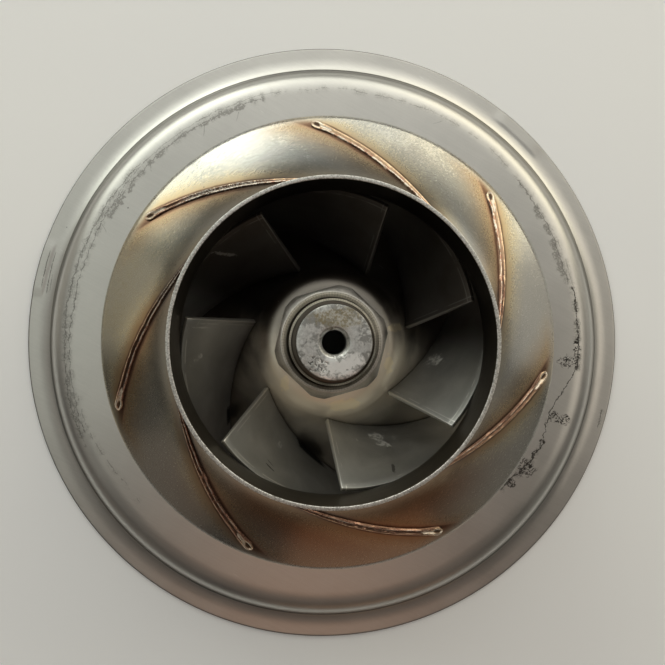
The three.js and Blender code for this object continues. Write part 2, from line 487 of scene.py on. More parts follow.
# What goes through a group's sockets, and into a node's, by their names
Wires = SimpleNamespace
Inputs = dict[Union[str, int], Value]


@dataclass
class Graph:
    """A node tree that is wired in code."""

    tree: bpy.types.NodeTree
    COLOUR_A: ClassVar[int] = 6
    COLOUR_B: ClassVar[int] = 7
    COLOUR_OUT: ClassVar[int] = 2

    def feed(self, socket: bpy.types.NodeSocket, value: Value) -> None:
        """Link a wire to a socket, or set a plain value on it.

        Args:
            socket: The input.
            value: A wire, a number, or the parts of a vector or colour.
        """
        if isinstance(value, Wire):
            self.tree.links.new(value.socket, socket)
        elif socket.type == "RGBA":
            socket.default_value = (*value, 1.0)
        else:
            socket.default_value = value

    def node(self, kind: str, inputs: Inputs, **settings: Union[str, bool]) -> bpy.types.Node:
        """Add a node.

        Args:
            kind: The node's type.
            inputs: Values by socket name or number.
            settings: The node's own settings.

        Returns:
            The new node.
        """
        made = self.tree.nodes.new(kind)
        for name, value in settings.items():
            setattr(made, name, value)
        for name, value in inputs.items():
            self.feed(made.inputs[name], value)
        return made

    def out(
        self, kind: str, inputs: Inputs, output: Union[str, int] = 0, **settings: Union[str, bool]
    ) -> Wire:
        """Add a node and return one of its outputs."""
        return Wire(self, self.node(kind, inputs, **settings).outputs[output])

    def math(self, op: Op, *values: Value, clamp: bool = False) -> Wire:
        """Do a sum, and hold its result between 0 and 1 if that is asked."""
        inputs = dict(enumerate(values))
        return self.out("ShaderNodeMath", inputs, operation=op.value, use_clamp=clamp)

    def vectors(self, operation: str, *values: Value, output: Union[str, int] = 0) -> Wire:
        """Do a sum with vectors."""
        return self.out("ShaderNodeVectorMath", dict(enumerate(values)), output, operation=operation)

    def largest(self, *values: Value) -> Wire:
        """Return the largest of some values."""
        return reduce(lambda one, other: self.math(Op.LARGER, one, other), values)

    def rest(self, share: Value) -> Wire:
        """Return what a share leaves of 1."""
        return self.math(Op.SUBTRACT, 1.0, share, clamp=True)

    def length(self, x: Wire, y: Wire) -> Wire:
        """Return the length of the hypotenuse over two sides."""
        return self.math(Op.ROOT, x * x + y * y)

    def sway(self, *noises: tuple[Wire, float]) -> Wire:
        """Add up noises about their middle, each by its weight."""
        return sum((noise - 0.5) * weight for noise, weight in noises)

    def mix(self, share: Value, low: Value, high: Value) -> Wire:
        """Mix two colours by the share of the second one."""
        inputs = {0: share, self.COLOUR_A: low, self.COLOUR_B: high}
        return self.out("ShaderNodeMix", inputs, self.COLOUR_OUT, data_type="RGBA")

    def coat(self, colour: Value, *coats: tuple[Value, Value]) -> Wire:
        """Lay coats over a colour in order, each a mask and the coat's own colour."""
        return reduce(lambda under, coat: self.mix(coat[0], under, coat[1]), coats, colour)

    def step(
        self, value: Value, start: Value, end: Value, low: Value = 0.0, high: Value = 1.0
    ) -> Wire:
        """Ease from low to high as a value goes from start to end, and hold it flat outside."""
        inputs = {0: value, 1: start, 2: end, 3: low, 4: high}
        return self.out("ShaderNodeMapRange", inputs, interpolation_type="SMOOTHSTEP")

    def band(self, value: Wire, middle: Value, half: Value, soft: Value) -> Wire:
        """Return 1 where a value is within half of a middle, and ease to 0 over a soft margin."""
        return self.step(abs(value - middle) - half, 0.0, soft, 1.0, 0.0)

    def apart(self, turn: Wire, middle: float) -> Wire:
        """Return the degrees between a turn and a middle, the shorter way round."""
        return abs(self.math(Op.WRAP, turn - middle, 180.0, -180.0))

    def noise(
        self,
        place: Value,
        scale: Value,
        detail: float = 2.0,
        warp: float = 0.0,
        output: str = "Fac",
    ) -> Wire:
        """Read a noise, mostly near 0.5, with a scale, octaves and a distortion."""
        inputs = {"Vector": place, "Scale": scale, "Detail": detail, "Distortion": warp}
        return self.out("ShaderNodeTexNoise", inputs, output)

    def cell(self, place: Value, scale: Value) -> tuple[Wire, Wire, Wire]:
        """Read the cells of a loose grid.

        Args:
            place: Where they are read.
            scale: Cells per unit of place.

        Returns:
            The distance from the cell's middle, and two numbers of its own from 0 to 1.
        """
        cell = self.node("ShaderNodeTexVoronoi", {"Vector": place, "Scale": scale})
        red, green, _ = self.parts(Wire(self, cell.outputs["Color"]))
        return Wire(self, cell.outputs["Distance"]), red, green

    def drawn(self, given: Wires) -> Wire:
        """Turn a place about Z, and measure it in lengths along X and in gaps across.

        Args:
            given: The place and its turn, and the length and the gap in millimetres.

        Returns:
            The drawn out place.
        """
        inputs = {"Vector": given.place, "Angle": given.turn}
        x, y, z = self.parts(self.out("ShaderNodeVectorRotate", inputs, rotation_type="Z_AXIS"))
        return self.vector(x / given.length, y / given.gap, z / given.gap)

    def vector(self, x: Value, y: Value, z: Value) -> Wire:
        """Join three numbers in a vector."""
        return self.out("ShaderNodeCombineXYZ", {0: x, 1: y, 2: z})

    def parts(self, vector: Value) -> tuple[Wire, ...]:
        """Split a vector in its three numbers."""
        made = self.node("ShaderNodeSeparateXYZ", {0: vector})
        return tuple(Wire(self, output) for output in made.outputs)

    def attribute(self, name: str) -> Wire:
        """Read a number that the mesh carries."""
        return self.out("ShaderNodeAttribute", {}, "Fac", attribute_name=name)


def sockets(vectors: str = "", numbers: str = "") -> dict[str, Kind]:
    """Name a group's sockets by words in a row, first those that carry vectors."""
    kinds = {Kind.VECTOR: vectors, Kind.NUMBER: numbers}
    return {name: kind for kind, names in kinds.items() for name in names.split()}


class Effect:
    """A node group that several finishes share, built once and placed with its own values."""

    title: ClassVar[str]
    takes: ClassVar[dict[str, Kind]]
    gives: ClassVar[dict[str, Kind]] = sockets(numbers="mask")

    @classmethod
    def wire(cls, graph: Graph, given: Wires) -> dict[str, Wire]:
        """Wire the inside of the group and return its outputs by name."""
        raise NotImplementedError

    @classmethod
    def tree(cls) -> bpy.types.NodeTree:
        """Find the group, or build it the first time.

        Returns:
            The group's node tree.
        """
        tree = bpy.data.node_groups.get(cls.title)
        if tree:
            return tree
        tree = bpy.data.node_groups.new(cls.title, "ShaderNodeTree")
        for way, kinds in (("INPUT", cls.takes), ("OUTPUT", cls.gives)):
            for name, kind in kinds.items():
                tree.interface.new_socket(name, in_out=way, socket_type=kind.value)
        graph = Graph(tree)
        entry = tree.nodes.new("NodeGroupInput")
        given = Wires(**{name: Wire(graph, entry.outputs[name]) for name in cls.takes})
        graph.node("NodeGroupOutput", cls.wire(graph, given))
        return tree

    @classmethod
    def use(cls, graph: Graph, **values: Value) -> Wires:
        """Place the group in a graph.

        Args:
            graph: The graph of the material, or of another group.
            values: The inputs by name.

        Returns:
            The outputs by name.
        """
        made = graph.tree.nodes.new("ShaderNodeGroup")
        made.node_tree = cls.tree()
        for name, value in values.items():
            graph.feed(made.inputs[name], value)
        return Wires(**{name: Wire(graph, made.outputs[name]) for name in cls.gives})


class Polar(Effect):
    """Radius, turn and height of a place about the axis."""

    title = "polar place"
    takes = sockets("place")
    gives = sockets(numbers="radius turn height")

    @classmethod
    def wire(cls, graph: Graph, given: Wires) -> dict[str, Wire]:
        """Measure the place: millimetres, and degrees from -90 to 270.

        Args:
            graph: The group's graph.
            given: The place.

        Returns:
            Radius, turn and height.
        """
        x, y, z = graph.parts(given.place)
        turn = graph.math(Op.ANGLE, y, x) * math.degrees(1)
        turn = graph.math(Op.WRAP, turn, 270.0, -90.0)
        return {"radius": graph.length(x, y), "turn": turn, "height": z}


class Satin(Effect):
    """The grain of a blasted or brushed sheet and its slow changes of tone."""

    title = "satin sheet"
    takes = sockets("place", "grain cloud")
    gives = sockets(numbers="fine slow")

    @classmethod
    def wire(cls, graph: Graph, given: Wires) -> dict[str, Wire]:
        """Read one noise at the grain's size and one at the cloud's, in cells per millimetre."""
        return {
            "fine": graph.noise(given.place, given.grain, 3.0),
            "slow": graph.noise(given.place, given.cloud, 4.0, 0.4),
        }


class Specks(Effect):
    """Small separate marks such as pits, dust and splashes."""

    title = "specks"
    takes = sockets("place", "spacing size share")

    @classmethod
    def wire(cls, graph: Graph, given: Wires) -> dict[str, Wire]:
        """Keep a share of the cells of a loose grid, each with one blot of its own size.

        Args:
            graph: The group's graph.
            given: The place, and the grid's spacing and the blots' size in millimetres.

        Returns:
            The mask of the blots.
        """
        distance, red, green = graph.cell(given.place, 1.0 / given.spacing)
        size = given.size * (green * 0.8 + 0.3) / given.spacing
        kept = graph.step(red, given.share, given.share * 0.9)
        return {"mask": kept * graph.step(distance, size, size * 0.5)}


class Strokes(Effect):
    """Short strokes of a brush or a wipe that run one way."""

    title = "brush strokes"
    takes = sockets("place", "turn length gap")

    @classmethod
    def wire(cls, graph: Graph, given: Wires) -> dict[str, Wire]:
        """Read a noise that is drawn out along the strokes."""
        return {"mask": graph.noise(graph.drawn(given), 1.0, 3.0)}


class Scratches(Effect):
    """Fine straight scratches that run one way."""

    title = "scratches"
    takes = sockets("place", "turn length gap share")

    @classmethod
    def wire(cls, graph: Graph, given: Wires) -> dict[str, Wire]:
        """Draw out the cells of a loose grid along the scratches, and draw a line in some.

        Args:
            graph: The group's graph.
            given: The place, the way they run, their length and gap, and the share of cells.

        Returns:
            The mask of the scratches.
        """
        distance, red, green = graph.cell(graph.drawn(given), 1.0)
        kept = graph.step(red, given.share, given.share * 0.85)
        return {"mask": kept * graph.step(distance, green * 0.1 + 0.16, green * 0.05)}


class Patch(Effect):
    """A patch round one place, with an edge that a noise has bitten into."""

    title = "ragged patch"
    takes = sockets("place centre reach", "bite")

    @classmethod
    def wire(cls, graph: Graph, given: Wires) -> dict[str, Wire]:
        """Measure the distance from the centre in reaches, and add the bite to it.

        Args:
            graph: The group's graph.
            given: The place, the patch's centre and reach, and the bite.

        Returns:
            The mask of the patch.
        """
        away = graph.vectors("SUBTRACT", given.place, given.centre)
        away = graph.vectors("LENGTH", graph.vectors("DIVIDE", away, given.reach), output="Value")
        return {"mask": graph.step(away + given.bite, 1.0, 0.6)}


class GritField(Effect):
    """How rubbing marks on the land wander, crinkle and press, read along the arc."""

    title = "grit field"
    takes = sockets(numbers="radius turn")
    gives = sockets("drift crinkle press", "grit")

    @classmethod
    def wire(cls, graph: Graph, given: Wires) -> dict[str, Wire]:
        """Read three colour noises, each of which serves three marks, and one of fine grit.

        Args:
            graph: The group's graph.
            given: Radius in millimetres and turn in degrees.

        Returns:
            The fields, with 0.5 as their middle.
        """
        path = graph.vector(given.turn * 1.2, given.radius, 0.0)
        flat = graph.vector(given.turn * 1.2, given.radius * 0.25, 5.0)
        return {
            "drift": graph.noise(flat, 0.09, 1.0, output="Color"),
            "crinkle": graph.noise(path, 0.55, 4.0, output="Color"),
            "press": graph.noise(flat, 0.4, 3.0, output="Color"),
            "grit": graph.noise(path, 2.4, 3.0),
        }


class GritLine(Effect):
    """A crinkled line of grit that runs round the axis, as a rubbing edge leaves it."""

    title = "grit line"
    own: ClassVar[str] = "first last half start end broken smudge"
    takes = sockets(numbers="radius turn drift crinkle press grit " + own)

    @classmethod
    def wire(cls, graph: Graph, given: Wires) -> dict[str, Wire]:
        """Draw a thin line that eases between two radii, with heavy and light stretches.

        Args:
            graph: The group's graph.
            given: Where it is read, the line's own field, its radii, turns and character.

        Returns:
            The mask of the line and of the grit beside it.
        """
        turn, start, end = given.turn, given.start, given.end
        middle = graph.step(turn, start, end, given.first, given.last)
        away = abs(given.radius - middle + given.drift + given.crinkle)
        press = graph.step(given.press, 0.4, 0.6)
        heavy = 1.0 - given.broken * (1.0 - press)
        half = given.half * (heavy + 0.15)
        line = graph.step(away, half, half * 0.35) * graph.step(heavy, 0.05, 0.35)
        line = line * graph.step(given.grit, 0.34, 0.46)
        beside = graph.step(away, 1.4, 0.3) * graph.step(given.grit, 0.38, 0.62, 0.15, 0.8)
        margin = 0.8
        ends = graph.step(turn, start, start + margin) * graph.step(turn, end, end - margin)
        return {"mask": graph.largest(line, beside * press * given.smudge) * ends}


class Heat(Effect):
    """Temper colours on steel beside a weld."""

    title = "weld heat"
    takes = sockets("place", "gap")
    gives = sockets(numbers="scorch rose amber brown straw")

    @classmethod
    def wire(cls, graph: Graph, given: Wires) -> dict[str, Wire]:
        """Fade each colour with the distance from the seam, a little unevenly.

        Args:
            graph: The group's graph.
            given: The place, and its gap from the seam in millimetres, inwards if positive.

        Returns:
            A mask for each colour.
        """
        uneven = (graph.noise(given.place, 0.35, 3.0) - 0.5) * 1.4
        gap = given.gap + uneven * 0.4
        away = abs(given.gap) + uneven
        inner = graph.step(gap, -0.6, 0.6)
        return {
            "scorch": graph.step(abs(given.gap) + uneven * 0.3, 1.8, 1.15),
            "rose": graph.step(abs(gap), 2.6, 1.2) * (inner * 0.6 + 0.4),
            "amber": graph.step(away, 5.4, 1.0) * (1.0 - inner * 0.4),
            "brown": graph.step(away, 8.8, 1.5) * inner,
            "straw": graph.step(away, 9.5, 2.5) * (1.0 - inner * 0.4),
        }


class Rings(Effect):
    """Fine marks of the turning tool about the axis."""

    title = "turning marks"
    takes = sockets("place", "pitch")

    @classmethod
    def wire(cls, graph: Graph, given: Wires) -> dict[str, Wire]:
        """Read a noise that changes only with radius and height.

        Args:
            graph: The group's graph.
            given: The place, and the marks' pitch in millimetres.

        Returns:
            The marks, with 0.5 as their middle.
        """
        polar = Polar.use(graph, place=given.place)
        flat = graph.vector(polar.radius / given.pitch, polar.height / given.pitch, 0.0)
        return {"mask": graph.noise(flat, 1.0, 3.0)}


# Finishes


@dataclass
class Paint(Graph):
    """The graph of a material, in which every effect reads one place in millimetres."""

    def __post_init__(self) -> None:
        """Clear the tree and wire the place."""
        self.tree.nodes.clear()
        scale = {0: self.out("ShaderNodeTexCoord", {}, "Object"), "Scale": 1 / MM}
        self.place: Wire = self.out("ShaderNodeVectorMath", scale, operation="SCALE")

    def read(self, effect: type[Effect], **values: Value) -> Wires:
        """Put an effect at the place, with its other inputs by name."""
        return effect.use(self, place=self.place, **values)

    def bite(self, ragged: float, depth: float) -> Wire:
        """Return a noise about 0 that eats into the edge of a patch."""
        return self.sway((self.noise(self.place, ragged, 5.0, 0.6), depth))


def shade(colour: Colour, by: float) -> Colour:
    """Return a colour made lighter or darker."""
    return tuple(min(1.0, part * by) for part in colour)


@dataclass
class Surface:
    """What a finish feeds to the shader."""

    colour: Value
    roughness: Value
    height: Value
    metallic: Value = 1.0


@dataclass(frozen=True)
class Deposit:
    """A ragged patch: its middle and its reach in millimetres, and its strength."""

    centre: Place
    reach: Place
    strength: float = 1.0

    def mask(self, on: Paint, bite: Value) -> Wire:
        """Return the mask of the patch, with its edge bitten, by its strength."""
        inputs = {"centre": self.centre, "reach": self.reach, "bite": bite}
        return on.read(Patch, **inputs).mask * self.strength


@dataclass(frozen=True)
class Finish:
    """A metal finish: its name, its bare colour, how rough it is and how deep its grain."""

    name: str
    colour: Colour
    roughness: float
    bump: float = 0.02

    def wire(self, on: Paint) -> Surface:
        """Wire colour, roughness and height over the surface."""
        raise NotImplementedError

    def toned(self, on: Paint, tone: Value, spread: float) -> Wire:
        """Return the bare colour made darker or lighter by a tone about 0, up to a spread."""
        share = on.math(Op.ADD, 0.5, tone, clamp=True)
        return on.mix(share, shade(self.colour, 1 - spread), shade(self.colour, 1 + spread))

    def material(self) -> bpy.types.Material:
        """Build the material.

        Returns:
            A material whose shader reads the wired surface.
        """
        made = bpy.data.materials.new(self.name)
        made.use_nodes = True
        on = Paint(made.node_tree)
        surface = self.wire(on)
        relief = {"Height": surface.height, "Distance": self.bump * MM, "Strength": 1.0}
        reads = {
            "Base Color": surface.colour,
            "Roughness": surface.roughness,
            "Metallic": surface.metallic,
            "Normal": on.out("ShaderNodeBump", relief),
        }
        shader = on.out("ShaderNodeBsdfPrincipled", reads)
        on.node("ShaderNodeOutputMaterial", {"Surface": shader})
        return made


@dataclass(frozen=True)
class GritMark:
    """A line of grit on the back plate, in millimetres and degrees."""

    first: float
    last: float
    start: float
    end: float
    half: float
    field: int
    drift: float
    crinkle: float
    broken: float
    smudge: float
    strength: float


@dataclass(frozen=True)
class PlateFinish(Finish):
    """Satin sheet of the back plate, with grit from rubbing, dirty hair lines, painted shade and a
    painted warm reflection on the hub.
    """

    # Grit, hair lines and specks, and the painted shade at the shoulder's foot and on the rim's edge
    grime: Colour = (0.055, 0.05, 0.045)
    # Painted warm reflection on the near side of the hub cone
    warm: Colour = (0.95, 0.85, 0.66)
    # Painted shade in the passages under the shroud
    stain: Colour = (0.24, 0.21, 0.17)
    # Painted shadow on the cone and the plate round it, away from the near side
    painted_shadow: Colour = (0.07, 0.06, 0.05)
    cream: Colour = (1.0, 0.88, 0.62)
    bright: Colour = (0.95, 0.95, 0.93)
    marks: ClassVar[tuple[GritMark, ...]] = (
        GritMark(67.6, 68.2, 15.0, 38.0, 1.0, 0, 1.6, 3.4, 1.0, 0.3, 0.5),
        GritMark(68.0, 67.4, 104.0, 151.0, 0.9, 2, 2.4, 3.4, 1.0, 0.3, 0.46),
        GritMark(70.0, 70.4, 146.0, 204.0, 0.6, 0, 2.0, 3.4, 1.0, 0.3, 0.42),
        GritMark(67.4, 64.6, 110.4, 112.6, 0.16, 1, 0.4, 1.0, 0.3, 0.0, 0.6),
        GritMark(68.0, 64.9, 118.8, 121.2, 0.16, 2, 0.4, 1.0, 0.3, 0.0, 0.6),
        GritMark(68.8, 66.0, 134.0, 136.2, 0.16, 0, 0.4, 1.0, 0.3, 0.0, 0.65),
        GritMark(69.2, 66.2, 151.6, 154.0, 0.14, 1, 0.4, 1.0, 0.3, 0.0, 0.5),
        GritMark(68.4, 66.4, 62.0, 64.2, 0.12, 2, 0.4, 1.0, 0.3, 0.0, 0.45),
        GritMark(68.3, 68.6, 13.0, 41.0, 0.3, 0, 1.4, 2.2, 0.5, 1.0, 0.62),
        GritMark(69.4, 69.0, 3.0, 100.0, 0.14, 1, 1.6, 1.4, 0.9, 0.6, 0.5),
        GritMark(68.2, 67.8, 104.0, 150.0, 0.3, 0, 1.4, 2.0, 0.5, 1.0, 0.5),
        GritMark(69.2, 69.0, 100.0, 146.0, 0.16, 2, 1.2, 1.6, 0.7, 0.6, 0.5),
        GritMark(69.6, 70.8, 136.0, 202.0, 0.24, 1, 1.4, 1.6, 0.6, 0.8, 0.6),
        GritMark(68.6, 69.3, 143.0, 201.0, 0.2, 2, 1.4, 1.8, 0.6, 0.8, 0.6),
        GritMark(68.4, 66.4, 192.0, 221.0, 0.18, 0, 2.0, 1.8, 0.9, 0.5, 0.45),
        GritMark(80.4, 80.2, 161.5, 169.5, 0.2, 0, 0.2, 0.3, 0.5, 0.2, 0.7),
        GritMark(78.9, 78.6, 161.5, 170.5, 0.18, 1, 0.2, 0.3, 0.5, 0.2, 0.7),
        GritMark(78.0, 77.8, 166.0, 170.0, 0.12, 2, 0.2, 0.3, 0.5, 0.2, 0.6),
        GritMark(81.2, 81.0, -18.0, -13.5, 0.3, 1, 0.2, 1.2, 0.6, 0.4, 0.7),
    )
    cracks: ClassVar[tuple[GritMark, ...]] = (
        GritMark(64.2, 69.2, -18.5, -4.0, 0.21, 0, 0.8, 2.2, 0.2, 0.0, 1.0),
        GritMark(62.8, 65.4, -41.0, -24.0, 0.34, 1, 1.0, 4.0, 0.3, 0.8, 1.0),
        GritMark(65.3, 64.2, -27.0, -17.5, 0.26, 2, 1.0, 3.0, 0.5, 0.3, 1.0),
        GritMark(69.4, 69.2, -7.0, 13.0, 0.34, 2, 0.8, 1.6, 0.6, 1.0, 0.95),
    )
    # Cream residue beside the nut
    residues: ClassVar[tuple[Deposit, ...]] = (
        Deposit((3.0, -14.6, 35.0), (4.6, 1.7, 4.0)),
        Deposit((14.9, 3.4, 34.5), (2.6, 1.2, 4.0)),
        Deposit((13.6, -5.4, 35.5), (1.2, 2.6, 3.0)),
        Deposit((-10.6, -9.8, 35.5), (1.2, 2.4, 3.0)),
    )
    # Tangled hair lines on the land
    tangles: ClassVar[tuple[Deposit, ...]] = (
        Deposit((66.2, -5.6, 7.5), (3.4, 1.9, 4.0)),
        Deposit((69.0, -2.6, 7.5), (1.3, 4.6, 4.0)),
        Deposit((65.0, -21.6, 7.5), (2.4, 1.9, 4.0)),
        Deposit((62.4, -20.6, 7.5), (2.0, 1.7, 4.0)),
        Deposit((54.6, -34.4, 7.5), (3.2, 3.0, 4.0)),
        Deposit((50.2, -38.6, 7.5), (1.8, 1.8, 4.0)),
    )

    def wire(self, on: Paint) -> Surface:
        """Wire the plate from its rim to its hub.

        Args:
            on: The material's graph.

        Returns:
            What the shader reads.
        """
        polar = on.read(Polar)
        radius, off = polar.radius, on.apart(polar.turn, NEAR_SIDE)
        satin = on.read(Satin, grain=5.0, cloud=0.1)
        strokes = on.read(Strokes, turn=0.5, length=9.0, gap=0.35).mask
        tone = on.sway((satin.fine, 0.4), (satin.slow, 0.6), (strokes, 0.5))
        near = on.step(off + (satin.slow - 0.5) * 50.0, 124.0, 66.0)
        cone = on.step(radius + (satin.slow - 0.5) * 9.0, 27.0, 14.5)
        # Painted shade on the land and the cone inside the shroud's edge, all but the near side of the
        # cone
        within = on.step(radius, 58.5, 52.0) * (1.0 - near * cone)
        bite = on.bite(0.7, 1.6)
        crust = satin.fine * 0.6 + 0.5
        # Painted shadow on the cone and the plate round it, away from the near side, fading out between
        # 30 and 42 mm
        painted_shadow = (1.0 - near) * on.step(radius, 12.8, 15.4)
        beyond = on.step(off, 70.0, 102.0) * on.step(radius, 19.0, 24.0)
        painted_shadow = on.largest(painted_shadow, beyond) * on.step(radius, 42.0, 30.0)
        # Painted shade in the groove at the shoulder's foot, wider on the upper side and strongest at
        # the top and bottom
        sine = on.math(Op.SINE, polar.turn * math.radians(1))
        upper = on.step(sine, -0.15, 0.3)
        foot = on.step(radius, 75.0 - upper * 1.6, 75.4 - upper * 0.7)
        foot = foot * on.step(radius, 76.4, 76.2) * (abs(sine) * 0.3 + 0.5)
        # Painted shade on the rounded edge of the rim
        edge = on.step(radius, 82.1, 82.4) * 0.85
        specks = on.read(Specks, spacing=6.0, size=0.34, share=0.22).mask
        dark = on.largest(specks * 0.8, self.grit(on, polar), self.tangle(on, bite))
        scratch = on.read(Scratches, turn=0.6, length=5.0, gap=0.7, share=0.06).mask
        colour = on.coat(
            self.toned(on, tone, 0.13),
            # painted shade in the passages under the shroud
            (within * 0.75, self.stain),
            # painted warm reflection on the near side of the hub cone
            (cone * near * 0.8, self.warm),
            *((patch.mask(on, bite) * crust, self.cream) for patch in self.residues),
            (painted_shadow * 0.92, self.painted_shadow),
            # grime, with the painted shade at the shoulder's foot and on the rim's edge
            (on.largest(dark, foot, edge), self.grime),
            (scratch * 0.3, self.bright),
        )
        roughness = self.roughness + tone * 0.08 + dark * 0.3
        # The painted warm reflection is also less metallic
        metallic = on.rest(cone * near * 0.55)
        return Surface(colour, roughness, satin.fine - scratch * 0.5, metallic)

    def grit(self, on: Paint, polar: Wires) -> Wire:
        """Draw the marks of rubbing and the dirty crack-like lines.

        Args:
            on: The material's graph.
            polar: Radius and turn of the place.

        Returns:
            The mask of all of them, by their strength.
        """
        where = {"radius": polar.radius, "turn": polar.turn}
        fields = GritField.use(on, **where)
        drifts, crinkles, presses = map(on.parts, (fields.drift, fields.crinkle, fields.press))
        dark: Value = 0.0
        for mark in self.marks + self.cracks:
            line = GritLine.use(
                on,
                **where,
                drift=(drifts[mark.field] - 0.5) * mark.drift,
                crinkle=(crinkles[mark.field] - 0.5) * mark.crinkle,
                press=presses[mark.field],
                grit=fields.grit,
                **{name: getattr(mark, name) for name in GritLine.own.split()},
            )
            dark = on.largest(dark, line.mask * mark.strength)
        return dark

    def tangle(self, on: Paint, bite: Wire) -> Wire:
        """Draw the tangled hair lines, which follow the level lines of a noise.

        Args:
            on: The material's graph.
            bite: What eats into the edges of the patches.

        Returns:
            The mask of the lines in all the patches.
        """
        patches = on.largest(*(patch.mask(on, bite) for patch in self.tangles))
        level = on.noise(on.place, 0.8, 4.0, 1.0)
        return on.step(abs(level - 0.5), 0.06, 0.035) * patches


@dataclass(frozen=True)
class ShroudFinish(Finish):
    """Heat tinted sheet of the front shroud, coloured along the seven seams and by side, with painted
    shade and a partly painted reflection.
    """

    straw: Colour = (0.82, 0.72, 0.50)
    pale: Colour = (0.93, 0.90, 0.80)
    blue: Colour = (0.52, 0.53, 0.52)
    olive: Colour = (0.50, 0.45, 0.33)
    # Copper of the heat tint; on the near side towards the collar it is partly a painted reflection of
    # that dark side
    copper: Colour = (0.34, 0.165, 0.075)
    amber: Colour = (0.68, 0.50, 0.27)
    brown: Colour = (0.50, 0.34, 0.20)
    rose: Colour = (0.55, 0.27, 0.18)
    scorch: Colour = (0.15, 0.08, 0.055)
    shadow: Colour = (0.12, 0.105, 0.085)
    # Painted shade on the face over the passages
    stain: Colour = (0.16, 0.14, 0.11)
    # Specks of grime, and painted shade along the edge
    grime: Colour = (0.06, 0.05, 0.04)
    edge: float = 53.5

    def wire(self, on: Paint) -> Surface:
        """Wire the tints by the distance from the seam, which the mesh carries.

        Args:
            on: The material's graph.

        Returns:
            What the shader reads.
        """
        polar = on.read(Polar)
        radius, turn = polar.radius, polar.turn
        half_pitch = 180.0 / Vanes.count
        off = on.math(Op.WRAP, turn - on.attribute("seam_turn"), half_pitch, -half_pitch)
        heat = on.read(Heat, gap=off * on.attribute("seam_reach"))
        satin = on.read(Satin, grain=4.0, cloud=0.09)
        strokes = on.read(Strokes, turn=2.2, length=1.2, gap=0.3).mask
        fine, slow = on.sway((satin.fine, 0.6), (strokes, 0.5)), satin.slow - 0.5
        fleck = on.step(strokes + slow * 0.9, 0.44, 0.62)
        far = on.step(on.apart(turn, FAR_SIDE), 85.0, 40.0)
        near = on.step(on.apart(turn, NEAR_SIDE), 66.0, 28.0)
        low = on.step(on.apart(turn, 250.0), 94.0, 78.0)
        left = on.band(turn, 172.0, 18.0, 30.0)
        outer = on.step(radius, 43.0, 50.0)
        body = on.step(polar.height, 33.3, 34.5)
        warm = (body * 0.7 + 0.3) * (1.0 - near * 0.6)
        shaded = (0.82 - near * 0.3) * (1.0 - on.band(turn, 34.0, 8.0, 14.0))
        shaded = shaded * on.step(radius + slow * 3.0, 42.4, 38.0)
        specks = on.read(Specks, spacing=6.0, size=0.3, share=0.22).mask
        # Painted shade along the rounded edge, where it stands over the land
        rim = on.step(radius + (satin.fine - 0.5) * 0.4, self.edge - 0.25, self.edge - 0.05)
        colour = on.coat(
            self.toned(on, fine + slow * 0.8, 0.12),
            (far * (1.0 - outer) * 0.6, self.blue),
            (far * outer * fleck * 0.5, self.pale),
            (left * (fleck * 0.3 + 0.55), self.olive),
            # copper on the near side towards the collar: partly heat tint, partly a painted reflection
            (near * on.step(radius, 58.0, 38.0), self.copper),
            (heat.straw * (fleck * 0.4 + 0.35) * warm, self.straw),
            (heat.brown * 0.7 * warm, self.brown),
            (heat.amber * 0.75 * warm, self.amber),
            (heat.amber * low * body * 0.5, self.copper),
            (heat.rose * 0.45 * body, self.rose),
            (heat.scorch * body * 0.85, self.scorch),
            (shaded, self.shadow),
            # specks of grime, and painted shade along the edge
            (on.largest(specks, rim * 0.5), self.grime),
            # painted shade on the face over the passages
            (on.attribute("inside") * 0.9, self.stain),
        )
        roughness = self.roughness + fine * 0.1 + heat.amber * 0.04
        return Surface(colour, roughness, satin.fine + strokes * 0.6 - specks)


@dataclass(frozen=True)
class CollarFinish(Finish):
    """Turned ring of the inlet, with a raw nicked edge and painted shade on its inner wall, deepest on
    the far side.
    """

    raw: Colour = (0.92, 0.91, 0.87)
    # Painted shade on the inner wall
    stain: Colour = (0.17, 0.15, 0.12)
    # Painted shade on the far side of the inner wall
    gloom: Colour = (0.03, 0.025, 0.02)
    nick: Colour = (0.2, 0.18, 0.15)
    wall: float = 32.9
    middle: float = 33.0

    def wire(self, on: Paint) -> Surface:
        """Wire the ring, rougher on its top edge than on its walls.

        Args:
            on: The material's graph.

        Returns:
            What the shader reads.
        """
        polar = on.read(Polar)
        rim = on.step(polar.height, 58.6, 58.9)
        satin = on.read(Satin, grain=3.4, cloud=0.2)
        rings = on.read(Rings, pitch=0.5).mask
        # Painted shade on the inner wall, deepest on the far side
        inside = on.step(polar.radius, self.wall, self.wall - 0.15) * (1.0 - rim)
        far = on.step(on.apart(polar.turn, 50.0), 115.0, 50.0)
        crest = on.step(abs(polar.radius - self.middle), 0.22, 0.34)
        nicks = on.read(Specks, spacing=3.0, size=0.6, share=0.2).mask * rim
        colour = on.coat(
            self.toned(on, (satin.fine - 0.5) * 1.5, 0.2),
            (inside * 0.85, self.stain),
            (inside * far * 0.7, self.gloom),
            (rim * on.step(satin.fine, 0.36, 0.56) * (crest * 0.6 + 0.4), self.raw),
            (nicks * 0.6, self.nick),
        )
        roughness = self.roughness + rim * 0.16 + (rings - 0.5) * 0.15
        return Surface(colour, roughness, satin.fine * (rim * 0.6 + 0.6) + rings - nicks * 1.5)


